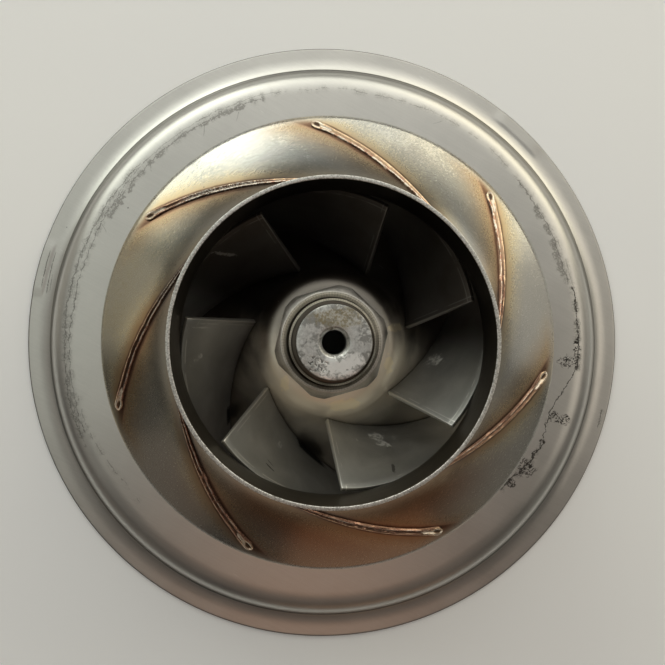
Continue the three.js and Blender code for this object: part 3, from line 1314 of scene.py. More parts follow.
@dataclass(frozen=True)
class VaneFinish(Finish):
    """Dull sheet of the vanes, with scribed lines beside its edges, a few deposits, a painted highlight
    on the leading edge and painted shade.
    """

    # Scribed lines and scratches, and a painted highlight along the leading edge
    bright: Colour = (0.82, 0.81, 0.77)
    dust: Colour = (0.7, 0.69, 0.64)
    # Painted shadow on the vanes of the far side
    painted_vane_shadow: Colour = (0.07, 0.055, 0.045)
    grime: Colour = (0.05, 0.05, 0.045)
    # Painted shade along the root, where the vane meets the cone
    root: Colour = (0.05, 0.045, 0.04)
    # Painted shade towards the shroud
    top: Colour = (0.2, 0.2, 0.19)
    # Painted shade in the gaps beside the roots
    black: Colour = (0.01, 0.01, 0.01)
    deposits: ClassVar[tuple[Deposit, ...]] = (
        Deposit((25.8, -4.5, 27.0), (2.4, 1.8, 4.6), 0.85),
        Deposit((11.2, -23.1, 27.8), (2.1, 1.4, 2.8), 0.85),
        Deposit((12.6, -24.3, 31.0), (2.0, 1.0, 1.8), 0.8),
        Deposit((-29.1, -3.2, 40.8), (0.6, 0.7, 1.5), 0.4),
        Deposit((-29.8, -4.2, 42.4), (0.6, 0.7, 1.5), 0.4),
        Deposit((-30.5, -5.2, 44.2), (0.6, 0.7, 1.5), 0.4),
        Deposit((-31.2, -6.2, 46.2), (0.6, 0.7, 1.5), 0.4),
        Deposit((-24.0, 19.6, 41.0), (3.4, 0.35, 4.6), 0.4),
        Deposit((-28.0, 3.15, 43.4), (2.6, 0.22, 4.0), 0.45),
        Deposit((-11.9, -24.4, 31.7), (0.6, 1.0, 1.8), 0.5),
        Deposit((6.3, -23.3, 32.2), (0.4, 0.6, 0.6), 0.7),
        Deposit((15.5, -23.5, 27.4), (0.7, 0.8, 1.2), 0.6),
        Deposit((-24.2, -9.7, 19.5), (0.5, 0.5, 0.5), 0.9),
    )
    # Dark arcs that something rubbed on the vanes
    rubs: ClassVar[tuple[Deposit, ...]] = (
        Deposit((-13.8, -27.7, 41.3), (2.2, 1.3, 0.22), 0.8),
        Deposit((-13.2, -27.0, 40.0), (1.9, 1.1, 0.18), 0.6),
        Deposit((13.8, -28.2, 41.7), (0.5, 2.0, 2.4), 0.7),
    )
    # Painted shade of the gaps along the roots, where the sheet stands off the cone
    root_gap_shades: ClassVar[tuple[Deposit, ...]] = (
        Deposit((-4.0, -28.6, 19.0), (7.0, 7.0, 4.5), 0.95),
        Deposit((-25.7, -19.1, 16.8), (3.0, 3.0, 3.0), 0.9),
    )

    def wire(self, on: Paint) -> Surface:
        """Wire the sheet from the strip's own lengthwise and crosswise share.

        Args:
            on: The material's graph.

        Returns:
            What the shader reads.
        """
        along, across = on.attribute("along"), on.attribute("across")
        satin = on.read(Satin, grain=4.5, cloud=0.12)
        # The far side: painted shadow, and dimmer light marks
        far = on.step(on.apart(on.read(Polar).turn, 80.0), 90.0, 72.0)
        lines = on.band(along, 0.024, 0.0014, 0.003), on.band(across, 0.95, 0.003, 0.007)
        scribed = on.largest(*lines) * on.step(on.noise(on.place, 0.22), 0.42, 0.56)
        scratch = on.read(Scratches, turn=2.2, length=7.0, gap=0.6, share=0.06).mask
        # Scribed lines and scratches, and a painted highlight along the leading edge, all dimmed on the
        # far side as painted shade
        light = on.largest(scribed * 0.5, on.step(along, 0.007, 0.003) * 0.8, scratch * 0.35)
        light = light * (1.0 - far * 0.75)
        bite = on.bite(0.9, 2.2)
        dust = on.largest(*(spot.mask(on, bite) for spot in self.deposits))
        dust = dust * on.step(on.noise(on.place, 1.1, 3.0), 0.38, 0.5)
        foot = on.step(across, 0.14, 0.08)
        specks = on.read(Specks, spacing=5.0, size=0.3, share=0.3).mask
        colour = on.coat(
            self.toned(on, on.sway((satin.fine, 0.5), (satin.slow, 1.6)), 0.22),
            # painted shade towards the shroud
            (on.step(across, 0.62, 1.0) * 0.5, self.top),
            (far * (satin.slow * 0.3 + 0.72), self.painted_vane_shadow),
            (light, self.bright),
            (dust, self.dust),
            # painted shade along the root
            (on.step(across, 0.03, 0.0) * 0.6, self.root),
            *((rub.mask(on, bite * 0.5), self.grime) for rub in self.rubs),
            *((slot.mask(on, bite * 0.4) * foot, self.black) for slot in self.root_gap_shades),
            (specks * 0.8, self.grime),
        )
        roughness = self.roughness + (satin.fine - 0.5) * 0.12 - light * 0.08
        height = satin.fine - specks + scratch * 0.4
        return Surface(colour, roughness, height, on.rest(dust * 0.8))


@dataclass(frozen=True)
class WeldFinish(Finish):
    """Copper coloured bead: a pale inner ridge and a golden outer one, both painted highlights, a dark
    trough and a crater.
    """

    dark: Colour = (0.06, 0.035, 0.025)
    gold: Colour = (0.92, 0.68, 0.44)
    pale: Colour = (0.85, 0.76, 0.64)
    rose: Colour = (0.62, 0.29, 0.22)
    # Painted reflection on the beads of the upper left
    silver: Colour = (0.72, 0.72, 0.66)
    # Painted warm reflection on the beads of the lower right
    brown: Colour = (0.24, 0.15, 0.10)
    # Painted shade in the crater's pit
    hole: Colour = (0.05, 0.03, 0.022)
    ridge: float = 0.58
    pit: float = 1.15

    def wire(self, on: Paint) -> Surface:
        """Wire the bead from the strip's own lengthwise and crosswise share.

        Args:
            on: The material's graph.

        Returns:
            What the shader reads.
        """
        run, side = on.attribute("along") * Bead.length, on.attribute("across") * 2 - 1
        left = Bead.length - run
        blotch = on.noise(on.place, 0.5, 3.0, 0.5)
        fine = on.noise(on.place, 2.6, 3.0)
        streak = on.noise(on.vector(run * 0.8, side * 2.2, blotch * 3.0), 1.0, 3.0)
        side = side + (on.noise(on.vector(run, blotch * 1.5, 0.0), 0.3) - 0.5) * 0.8
        turn = on.read(Polar).turn
        # Painted light by the side round the ring: the lit beads get gold, wider ridge highlights and a
        # paler trough
        lit = on.band(turn, 66.0, 34.0, 16.0)
        # Painted silver reflection on the beads of the upper left, with a paler trough there
        plain = on.band(turn, 140.0, 24.0, 8.0) * on.step(run, 35.0, 31.0)
        # Painted highlights along the ridges, pale on the inner one and golden on the outer one
        inner = on.band(side, self.ridge, lit * 0.16 + 0.02, 0.16) * on.step(streak, 0.4, 0.58)
        outer = on.band(side, -self.ridge, lit * 0.2 + 0.02, 0.16) * on.step(streak, 0.6, 0.44)
        trough = on.step(abs(side), 0.56, 0.3) * on.step(streak + fine * 0.4, 0.45, 0.7)
        # Painted shade in the middle of the beads on the left
        dull = on.band(turn, 188.0, 28.0, 12.0) * on.step(run, 39.0, 36.0)
        # Crater: painted shade in the pit, and a painted highlight on the pale spot behind it
        away = on.length((left - self.pit) / 0.95, side / 0.46) + (fine - 0.5) * 0.5
        shine = on.length((left - 3.4) / 1.5, (side - 0.1) / 0.5) + (fine - 0.5) * 0.9
        colour = on.coat(
            self.colour,
            (on.step(blotch, 0.5, 0.64) * 0.6, self.rose),
            (plain * 0.8, on.mix(on.step(fine, 0.42, 0.6), self.dark, self.silver)),
            (lit * on.step(streak, 0.36, 0.6) * 0.75, self.gold),
            (trough * 0.9 * (1.0 - plain * 0.7) * (1.0 - lit * 0.65), self.dark),
            # painted warm reflection on the beads of the lower right
            (on.band(turn, -30.0, 28.0, 12.0) * 0.6, self.brown),
            (dull * on.step(abs(side), 0.6, 0.4) * 0.8, self.dark),
            (on.step(abs(side), 0.7, 0.9) * (on.step(side, 0.0, 0.5) * 0.3 + 0.55), self.dark),
            (outer * (1.0 - plain * 0.6), self.gold),
            (inner, self.pale),
            (on.step(away, 2.1, 1.7) * 0.7, self.gold),
            (on.band(away, 1.2, 0.2, 0.3) * 0.85, self.pale),
            (on.step(away, 1.0, 0.55) * 0.92, self.hole),
            (on.step(shine, 1.0, 0.6) * 0.9, self.pale),
        )
        roughness = self.roughness + trough * 0.2 + (streak - 0.5) * 0.3
        return Surface(colour, roughness, streak * 1.5 + fine)


@dataclass(frozen=True)
class TurnedFinish(Finish):
    """Turned steel of the nut and the sleeve: a cream ring that catches dust, lit by a painted
    highlight, and painted shade on the near side and in a gap.
    """

    cream: Colour = (0.93, 0.87, 0.72)
    ring: Pair = (0.0, 0.0)
    above: float = 0.0
    # Inner and outer radius of a narrow gap, darkened as painted shade
    gap_shade: Pair = (0.0, 0.0)
    shade: Colour = (0.16, 0.15, 0.13)
    # Specks and thread ticks, and painted shade in the gap
    grime: Colour = (0.05, 0.04, 0.03)
    ticks: int = 110

    def wire(self, on: Paint) -> Surface:
        """Wire turning marks, dull patches, the cream ring and a few dark specks, with painted shade on
        the near side and in the gap.

        Args:
            on: The material's graph.

        Returns:
            What the shader reads.
        """
        polar = on.read(Polar)
        satin = on.read(Satin, grain=3.0, cloud=0.35)
        rings = on.read(Rings, pitch=0.35).mask
        start, end = self.ring
        cream = on.band(polar.radius, (start + end) / 2, (end - start) / 2, 0.15)
        cream = cream * on.step(polar.height, self.above, self.above + 0.4)
        far = on.step(on.apart(polar.turn, FAR_SIDE), 120.0, 60.0)
        # Cream dust on the ring, with a painted highlight that makes it stronger on the far side
        dust_and_sheen = cream * (satin.slow * 0.5 + 0.6) * (far * 0.75 + 0.25)
        tick = on.math(Op.SINE, polar.turn * (math.radians(1) * self.ticks))
        notch = on.step(tick + (satin.fine - 0.5) * 5.0, 0.5, 0.9) * cream
        lines = on.step(abs(rings - 0.5), 0.05, 0.01) * cream
        # Painted shade in the gap
        start, end = self.gap_shade
        gap_shade = on.step(polar.radius, start - 0.2, start) * on.step(polar.radius, end + 0.15, end)
        specks = on.read(Specks, spacing=2.4, size=0.2, share=0.3).mask
        # Specks and thread ticks, and the painted shade of the gap
        dirt_and_gap_shade = on.largest(specks * 0.8, notch * 0.2 + lines * 0.35, gap_shade * 0.95)
        tone = on.sway((satin.slow, 1.6), (rings, 0.5), (satin.fine, 0.7))
        colour = on.coat(
            self.toned(on, tone, 0.3),
            ((1.0 - far) * 0.5, self.shade),
            (dust_and_sheen, self.cream),
            (dirt_and_gap_shade, self.grime),
        )
        roughness = self.roughness + on.sway((satin.slow, 0.3), (rings, 0.1))
        height = rings * 0.8 + satin.fine * 0.6 - dirt_and_gap_shade
        return Surface(colour, roughness, height, on.rest(dust_and_sheen * 0.8))


@dataclass(frozen=True)
class NoseFinish(Finish):
    """Mottled face of the nose, with tan residue over the hole, dark pits and a painted highlight on
    its near side.
    """

    residue: Colour = (0.24, 0.20, 0.12)
    stain: Colour = (0.19, 0.19, 0.18)
    # Painted highlight
    bright: Colour = (0.97, 0.97, 0.94)
    grime: Colour = (0.05, 0.05, 0.045)
    # Painted highlight: a brighter patch on the near side of the face
    near_highlight: ClassVar[Deposit] = Deposit((1.2, -4.6, 56.2), (5.6, 3.2, 3.0), 0.8)
    crusted: ClassVar[Deposit] = Deposit((0.4, 4.9, 56.2), (5.8, 2.7, 3.0))
    worn: ClassVar[Deposit] = Deposit((-3.6, -4.4, 56.2), (2.6, 2.4, 3.0))

    def wire(self, on: Paint) -> Surface:
        """Wire the mottled face.

        Args:
            on: The material's graph.

        Returns:
            What the shader reads.
        """
        satin = on.read(Satin, grain=3.0, cloud=0.34)
        spots = on.noise(on.place, 1.3, 5.0, 0.8)
        bite = on.bite(0.5, 1.6)
        mottle = on.step(satin.slow + (spots - 0.5) * 0.5, 0.52, 0.38)
        grain = on.step(on.noise(on.place, 2.2, 4.0), 0.42, 0.6)
        crust = self.crusted.mask(on, bite) * (grain * 0.6 + 0.4)
        worn = self.worn.mask(on, bite) * on.step(spots, 0.5, 0.58)
        pits = on.read(Specks, spacing=1.5, size=0.22, share=0.14).mask
        pits = on.largest(pits, worn)
        colour = on.coat(
            self.toned(on, on.sway((satin.fine, 1.2), (spots, 1.6)), 0.28),
            # painted highlight on the near side
            (self.near_highlight.mask(on, bite), self.bright),
            (mottle * 0.7, self.stain),
            (crust * 0.9, self.residue),
            (pits * 0.8, self.grime),
        )
        roughness = self.roughness + mottle * 0.12 + crust * 0.3
        height = satin.fine * 0.8 + spots + crust * 1.2 - pits * 1.5
        return Surface(colour, roughness, height, on.rest(crust * 0.6))


@dataclass(frozen=True)
class FloorFinish(Finish):
    """Plain pale floor of the studio, matt and with a very faint tone."""

    def wire(self, on: Paint) -> Surface:
        """Wire the floor.

        Args:
            on: The material's graph.

        Returns:
            What the shader reads.
        """
        slow = on.noise(on.place, 0.01)
        colour = on.mix(slow, shade(self.colour, 0.97), shade(self.colour, 1.03))
        return Surface(colour, self.roughness + slow * 0.02, slow, 0.0)


# Sub-assemblies


@dataclass
class Assembly:
    """Pieces that share a finish, and the name of a material slot."""

    finish: Finish
    slot: str
    pieces: dict[str, bpy.types.Object] = field(default_factory=dict, init=False)

    def build(self) -> None:
        """Model the pieces and keep each under the name of the node that it stands for."""
        raise NotImplementedError

    def dress(self) -> None:
        """Give every piece its finish and its place in the frame."""
        material = self.finish.material()
        for node, piece in self.pieces.items():
            piece.data.materials.clear()
            piece.data.materials.append(material)
            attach(piece, BODY)
            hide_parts(node)
            log.info("%s stands for %s: %d faces", piece.name, node, len(piece.data.polygons))


@dataclass
class BackPlate(Assembly):
    """The pressed disc: flat flange, rounded shoulder, flat land, cone and hub seat."""

    sheet: float = 1.2
    rim: float = 82.5
    seat: float = 36.0
    seat_radius: float = 12.6
    hole: float = 9.7
    sides: int = 360
    # Start and end in degrees, inner radius and lift in millimetres of each dent in the flange
    dents: ClassVar[tuple[tuple[float, float, float, float], ...]] = (
        (42.0, 52.5, 79.4, 0.2),
        (160.5, 170.5, 79.8, 0.22),
    )
    # How far a dent pulls the sheet beside it, and the height that the flange stays under
    pull: float = 0.9
    low: float = 4.0

    def section(self) -> Section:
        """Trace the upper face from the rim inwards.

        Returns:
            The open section.
        """
        brow = Curve((CONE.controls[-1], (16.46, self.seat), (self.seat_radius, self.seat)))
        return (
            Section([Vector((self.rim, self.sheet))])
            .to(*FOOT.controls[0], 5)
            .along(FOOT, 12)
            .to(*SHOULDER.controls[0], 4)
            .along(SHOULDER, 20)
            .to(*CONE.controls[0], 4)
            .along(CONE, 28)
            .along(brow, 8)
            .to(self.hole, self.seat, 2)
        )

    def knock(self, bench: Bench) -> None:
        """Bend the flange where it was knocked: a low flat with a crease on each side.

        Args:
            bench: The bench with the open upper face.
        """
        for start, end, inner, lift in self.dents:
            middle, half = math.radians((start + end) / 2), math.radians((end - start) / 2)
            way = Vector((math.cos(middle), math.sin(middle)))
            for share in (1.0, 0.94):
                bench.pick(
                    lambda place: place.xy.length > inner
                    and place.z < self.low
                    and abs(way.angle_signed(place.xy)) < half * share
                )
                bench.shift((0, 0, lift / 2), self.pull)

    def build(self) -> None:
        """Turn the upper face, knock it, and give the sheet its thickness."""
        bench = turn_section("back_plate_sheet", self.section(), self.sides, closed=False)
        bench.face_up()
        self.knock(bench)
        piece = bench.leave()
        fit(piece, Fitting.WALL, thickness=self.sheet * MM, offset=-1.0)
        soften(piece, 0.18, angle=60.0)
        self.pieces["back_plate"] = piece


@dataclass
class FrontShroud(Assembly):
    """The flared sheet over the vanes, from its neck down to its edge."""

    sheet: float = 1.2
    neck_top: float = 49.5
    sides: int = 288
    steps: int = 36
    halvings: int = 30

    def share_at(self, height: float) -> float:
        """Find how far down the flare a height lies, by halving.

        Args:
            height: Height of a point on the outer face.

        Returns:
            The curve's share, held between 0 and 1.
        """
        low, high = 0.0, 1.0
        for _ in range(self.halvings):
            middle = (low + high) / 2
            if FLARE.at(middle).y > height:
                low = middle
            else:
                high = middle
        return (low + high) / 2

    def seam_turn(self, place: Vector) -> float:
        """Return the turn in degrees of the first vane's seam at the height of a place."""
        return Vanes.first + Vanes.tip_wrap(self.share_at(place.z))

    def seam_reach(self, place: Vector) -> float:
        """Work out how far a degree beside the seam is from it, square to the seam.

        Args:
            place: A place on the outer face.

        Returns:
            Millimetres per degree.
        """
        share = self.share_at(place.z)
        down = FLARE.run(share).length / (2 * NEAR)
        degree = math.radians(1) * FLARE.at(share).x
        return degree * down / math.hypot(down, degree * Vanes.shroud_wrap)

    def inside(self, place: Vector) -> float:
        """Tell the face over the passages from the outer one.

        Args:
            place: A place on the sheet.

        Returns:
            0 on the outer face, and 1 on the inner one.
        """
        outer = FLARE.at(self.share_at(place.z)).x
        return min(1.0, max(0.0, (outer - place.xy.length) / self.sheet))

    def build(self) -> None:
        """Turn the outer face, note the seams on it, and give the sheet its thickness."""
        section = Section([FLARE.at(1 - step / self.steps) for step in range(self.steps + 1)])
        section.to(FLARE.at(0.0).x, self.neck_top, 2)
        bench = turn_section("front_shroud_sheet", section, self.sides, closed=False)
        bench.face_up()
        piece = bench.leave()
        note_places(piece, "seam_turn", self.seam_turn)
        note_places(piece, "seam_reach", self.seam_reach)
        fit(piece, Fitting.WALL, thickness=self.sheet * MM, offset=-1.0)
        note_places(piece, "inside", self.inside)
        soften(piece, 0.2, angle=60.0)
        self.pieces["front_shroud"] = piece


@dataclass
class InletCollar(Assembly):
    """The thin ring that stands round the inlet eye."""

    bore: float = 32.6
    sheet: float = 0.8
    foot: float = 47.5
    top: float = 59.0
    sides: int = 288

    def build(self) -> None:
        """Turn the ring and break its edges."""
        outer = self.bore + self.sheet
        section = Section([Vector((outer, self.foot))]).to(outer, self.top, 6)
        section.to(self.bore, self.top).to(self.bore, self.foot, 6)
        piece = turn_section("inlet_collar_ring", section, self.sides, closed=True).leave()
        soften(piece, 0.15, 3)
        self.pieces["inlet_collar"] = piece


def on_wrap(place: Vector, degrees: float) -> Vector:
    """Put a radius and a height at a turn about the axis."""
    turn = math.radians(degrees)
    return Vector((place.x * math.cos(turn), place.x * math.sin(turn), place.y))


@dataclass
class Vanes(Assembly):
    """Seven curved sheets between the hub cone and the shroud."""

    count: ClassVar[int] = 7
    first: ClassVar[float] = 16.1
    shroud_start: ClassVar[float] = 18.7
    shroud_wrap: ClassVar[float] = 64.0
    hub_wraps: ClassVar[tuple[float, float, float]] = (-6.3, 118.0, -27.0)
    sheet: float = 1.0
    gap: float = 0.25
    shroud_sheet: float = 1.2
    corner: Pair = (31.6, 47.9)
    throat_end: float = 0.15
    shroud_end: float = 0.985
    hub_end: float = 0.925

    @classmethod
    def tip_wrap(cls, share: float) -> float:
        """Return how many degrees behind its leading edge a vane meets a share of the flare."""
        return cls.shroud_start + cls.shroud_wrap * share

    @classmethod
    def root_wrap(cls, share: float) -> float:
        """Return how many degrees behind its leading edge a vane stands at a share of the cone."""
        start, rise, ease = cls.hub_wraps
        return start + rise * (1 - share) + ease * (1 - share) ** 2

    def root(self, along: float) -> Vector:
        """Find where the vane stands on the cone.

        Args:
            along: Share of the vane's length from the leading edge.

        Returns:
            The place at the first vane's turn.
        """
        share = 1 - along * self.hub_end
        return on_wrap(CONE.beside(share, -self.gap), self.first + self.root_wrap(share))

    def tip(self, along: float) -> Vector:
        """Find where the vane meets the shroud: down through the throat, then along the flare.

        Args:
            along: Share of the vane's length from the leading edge.

        Returns:
            The place at the first vane's turn.
        """
        wrap = along * self.tip_wrap(self.shroud_end)
        share = (wrap - self.shroud_start) / self.shroud_wrap
        below = self.shroud_sheet + self.gap
        if share > self.throat_end:
            return on_wrap(FLARE.beside(share, -below), self.first + wrap)
        throat = wrap / self.tip_wrap(self.throat_end)
        place = Vector(self.corner).lerp(FLARE.beside(self.throat_end, -below), throat)
        return on_wrap(place, self.first + wrap)

    def station(self, along: float, width: float) -> Station:
        """Find where a column of the flat sheet goes.

        Args:
            along: Share of the vane's length from the leading edge.
            width: The flat sheet's width.

        Returns:
            The column's station.
        """
        root, tip = self.root(along), self.tip(along)
        run = self.root(along + STRIDE) - self.root(along - STRIDE)
        return Station((root + tip) / 2, run, tip - root, Vector((1, (tip - root).length / width, 1)))

    def build(self) -> None:
        """Lay a flat sheet between its two seats, thicken it, and copy it round the axis."""
        strip = Strip("vane_sheet", length=90.0, width=30.0, columns=56, rows=10)
        bench = strip.add()
        note_strip(bench, strip)
        strip.lay(bench, lambda along: self.station(along, strip.width))
        bench.close()
        piece = bench.leave()
        fit(piece, Fitting.WALL, thickness=self.sheet * MM, offset=0.0)
        soften(piece, 0.14, 2)
        for k, copy in enumerate(ring_of(piece, "vane_sheet", self.count)):
            self.pieces[f"vane_{k + 1}"] = copy


def note_strip(bench: Bench, strip: Strip) -> None:
    """Note on a flat strip how far along and across it every vertex lies.

    Args:
        bench: The bench with the flat strip, which goes back to edit mode afterwards.
        strip: The strip's sizes.
    """
    piece = bench.leave()
    note_places(piece, "along", lambda place: (place.x - strip.column(0)) / strip.length)
    note_places(piece, "across", lambda place: place.y / strip.width + 0.5)
    bpy.ops.object.mode_set(mode="EDIT")


@dataclass
class Bead(Assembly):
    """A ring of weld beads that follow the seams of the vanes."""

    stem: str
    curve: Curve
    seam: Pair
    outside: float
    wrap: Callable[[float], float]
    sink: float = 0.05
    width: float = 2.5
    rise: float = 0.75
    length: ClassVar[float] = 42.0
    columns: int = 140
    rows: int = 16
    wall: float = 0.3
    crater: float = 0.5
    pull: float = 1.0
    # How far from the end, and how deep, the crater is pressed
    pits: ClassVar[tuple[Pair, ...]] = ((1.1, 0.12), (2.0, 0.08))
    # Depth and half width of the groove between the ridges, as shares of the rise and half width
    groove: Pair = (0.7, 0.38)
    # Shares of the width: at the start, gained by a share of the way, and gained after another
    narrow: float = 0.34
    gain: Pair = (0.42, 0.55)
    bulge: Pair = (0.38, 0.88)

    def crown(self, across: float) -> float:
        """Work out the height of the bead's section: two ridges beside a shallow groove.

        Args:
            across: Place across the bead, from -1 to 1.

        Returns:
            Share of the bead's rise.
        """
        deep, half = self.groove
        dome = math.sqrt(max(0.0, 1 - across * across))
        return dome * (1 - deep * math.exp(-((across / half) ** 2)))

    def swell(self, along: float) -> float:
        """Work out how wide the bead is, narrow at its start and round at its crater.

        Args:
            along: Share of the bead's length.

        Returns:
            Share of the full width.
        """
        (gain, grown), (bulge, swells) = self.gain, self.bulge
        body = self.narrow + gain * min(1.0, along / grown) ** 0.7
        body += bulge * max(0.0, (along - swells) / (1 - swells))
        left = (1 - along) * self.length / (self.width / 2)
        end = math.sqrt(max(0.0, 1 - (1 - min(1.0, left)) ** 2))
        start = min(1.0, along * 14 + 0.15)
        return max(0.06, body * end * start)

    def station(self, along: float) -> Station:
        """Find where a column of the flat bead goes.

        Args:
            along: Share of the bead's length.

        Returns:
            The column's station on the outside of the sheet.
        """
        start, end = self.seam

        def seat(share: float) -> Vector:
            """Return the place of the seam at a share of its length."""
            at = start + (end - start) * share
            return on_wrap(self.curve.beside(at, self.outside), Vanes.first + self.wrap(at))

        run = (seat(along + STRIDE) - seat(along - STRIDE)).normalized()
        at = start + (end - start) * along
        up = on_wrap(self.curve.left(at), Vanes.first + self.wrap(at))
        size = self.swell(along)
        return Station(seat(along), run, up.cross(run), Vector((1, size, 0.55 + 0.45 * size)))

    def shape_flat(self, bench: Bench, strip: Strip) -> None:
        """Raise the section and press in the end crater, all in the flat.

        Args:
            bench: The bench with the flat strip.
            strip: The strip's sizes.
        """
        half = strip.width / 2
        for row in range(self.rows + 1):
            y = (row / self.rows - 0.5) * strip.width
            bench.pick(lambda place: abs(place.y - y) < half / self.rows)
            bench.shift((0, 0, self.crown(y / half) * self.rise - self.sink))
        for inwards, depth in self.pits:
            pit = Vector((strip.column(1.0) - inwards, 0.0))
            bench.pick(lambda place: (place.xy - pit).length < self.crater)
            bench.shift((0, 0, -depth), self.pull)

    def build(self) -> None:
        """Shape one bead in the flat, lay it on its seam, and copy it round the axis."""
        strip = Strip(self.stem, self.length, self.width, self.columns, self.rows)
        bench = strip.add()
        note_strip(bench, strip)
        self.shape_flat(bench, strip)
        strip.lay(bench, self.station)
        bench.close()
        piece = bench.leave()
        fit(piece, Fitting.WALL, thickness=self.wall * MM, offset=-1.0)
        bpy.ops.object.shade_smooth_by_angle(angle=math.radians(60))
        for k, copy in enumerate(ring_of(piece, self.stem, Vanes.count)):
            self.pieces[f"{self.stem.replace('bead', 'weld')}_{k + 1}"] = copy


@dataclass
class HubSleeve(Assembly):
    """The threaded sleeve through the hub, with its rear boss and shaft bore."""

    bore: float = 6.0
    boss: float = 12.0
    foot: float = 4.0
    chamfer: float = 0.6
    under_seat: float = 34.8
    thread: float = 9.4
    thread_top: float = 49.0
    thread_chamfer: float = 0.75
    pitch: float = 1.0
    depth: float = 0.5
    runout: float = 0.2
    sides: int = 128

    def section(self) -> Section:
        """Trace the sleeve: boss, thread grooves, top and bore.

        Returns:
            The closed section.
        """
        section = Section([Vector((self.bore + self.chamfer, self.foot))])
        section.to(self.boss - self.chamfer, self.foot).to(self.boss, self.foot + self.chamfer)
        section.to(self.boss, self.under_seat, 6).to(self.thread, self.under_seat)
        turns = int((self.thread_top - self.thread_chamfer - self.under_seat) / self.pitch)
        for k in range(turns):
            low = self.under_seat + self.runout + k * self.pitch
            for share, radius in ((0.2, 0), (0.5, self.depth), (0.6, self.depth), (0.9, 0)):
                section.to(self.thread - radius, low + share * self.pitch)
        section.to(self.thread, self.thread_top - self.thread_chamfer)
        section.to(self.thread - self.thread_chamfer, self.thread_top)
        return section.to(self.bore, self.thread_top, 2).to(self.bore, self.foot + self.chamfer, 6)

    def build(self) -> None:
        """Turn the sleeve and break its edges."""
        piece = turn_section("hub_sleeve_turned", self.section(), self.sides, closed=True).leave()
        soften(piece, 0.06, 1)
        self.pieces["hub_sleeve"] = piece


@dataclass
class HubNut(Assembly):
    """The hex nut: a chamfered turned blank cut to six flats."""

    flats: float = 24.0
    corner: float = 13.0
    foot: float = 36.0
    height: float = 4.2
    chamfer: float = 0.85
    face: float = 11.4
    bore: float = 9.7
    countersink: float = 1.1
    turn: float = 16.0
    sides: int = 192

    def build(self) -> None:
        """Turn the blank, keep what it has in common with a hex bar, and break the edges."""
        top = self.foot + self.height
        blank = Section([Vector((self.bore, self.foot))])
        blank.to(self.corner, self.foot).to(self.corner, top - self.chamfer).to(self.face, top)
        blank.to(self.bore + self.countersink, top).to(self.bore, top - self.countersink)
        piece = turn_section("hub_nut_hex", blank, self.sides, closed=True).leave()
        clear_selection()
        bpy.ops.mesh.primitive_cylinder_add(
            vertices=6,
            radius=self.flats / 2 / math.cos(math.pi / 6) * MM,
            depth=self.height * 2 * MM,
            location=(0, 0, (self.foot + self.height / 2) * MM),
        )
        bench = Bench("hex_bar")
        # The bar is added with a corner on the Y axis, and six corners lie 60 degrees apart
        bench.turn(math.radians(self.turn - 30), Axis.Z)
        bar = bench.leave()
        take_up(piece)
        fit(piece, Fitting.COMMON, operation="INTERSECT", object=bar, solver="EXACT")
        bpy.data.objects.remove(bar)
        soften(piece, 0.1, 2, angle=18.0)
        self.pieces["hub_nut"] = piece


@dataclass
class HubNose(Assembly):
    """The disc on the end of the sleeve, with its countersunk tapped hole."""

    neck: float = 7.0
    foot: float = 49.0
    neck_height: float = 1.2
    flare: float = 0.4
    radius: float = 7.8
    top: float = 56.2
    chamfer: float = 0.15
    hole: float = 2.5
    countersink: float = 0.7
    pitch: float = 1.0
    depth: float = 0.35
    runout: float = 0.2
    turns: int = 5
    sides: int = 128

    def build(self) -> None:
        """Turn the nose with the thread grooves of its hole, and break its edges."""
        collar = self.foot + self.neck_height
        section = Section([Vector((self.hole, self.foot))])
        section.to(self.neck, self.foot, 2).to(self.neck, collar, 2)
        section.to(self.radius, collar + self.flare).to(self.radius, self.top - self.chamfer, 3)
        section.to(self.radius - self.chamfer, self.top).to(self.hole + self.countersink, self.top, 4)
        section.to(self.hole, self.top - self.countersink)
        for k in range(self.turns):
            high = self.top - self.countersink - self.runout - k * self.pitch
            section.to(self.hole, high).to(self.hole + self.depth, high - 0.4 * self.pitch)
            section.to(self.hole, high - 0.8 * self.pitch)
        piece = turn_section("hub_nose_disc", section, self.sides, closed=True).leave()
        soften(piece, 0.08, 2)
        self.pieces["hub_nose"] = piece


# Studio


@dataclass(frozen=True)
class Softbox:
    """A soft light panel that faces the impeller: degrees round and above it, metres, and glow."""

    name: str
    azimuth: float
    elevation: float
    width: float
    height: float
    glow: float
    colour: Colour
    distance: float = 1.2

    def build(self) -> None:
        """Hang the panel, unseen by the camera."""
        around, above = math.radians(self.azimuth), math.radians(self.elevation)
        way = Vector((math.cos(around), math.sin(around), math.tan(above))).normalized()
        turn = way.to_track_quat("Z", "Y").to_euler()
        bpy.ops.object.light_add(type="AREA", location=way * self.distance, rotation=turn)
        lamp = bpy.context.object
        lamp.name = self.name
        lamp.visible_camera = False
        lamp.data.shape = "RECTANGLE"
        lamp.data.size = self.width
        lamp.data.size_y = self.height
        # A panel sends out its glow times pi over its area
        lamp.data.energy = self.glow * math.pi * self.width * self.height
        lamp.data.color = self.colour


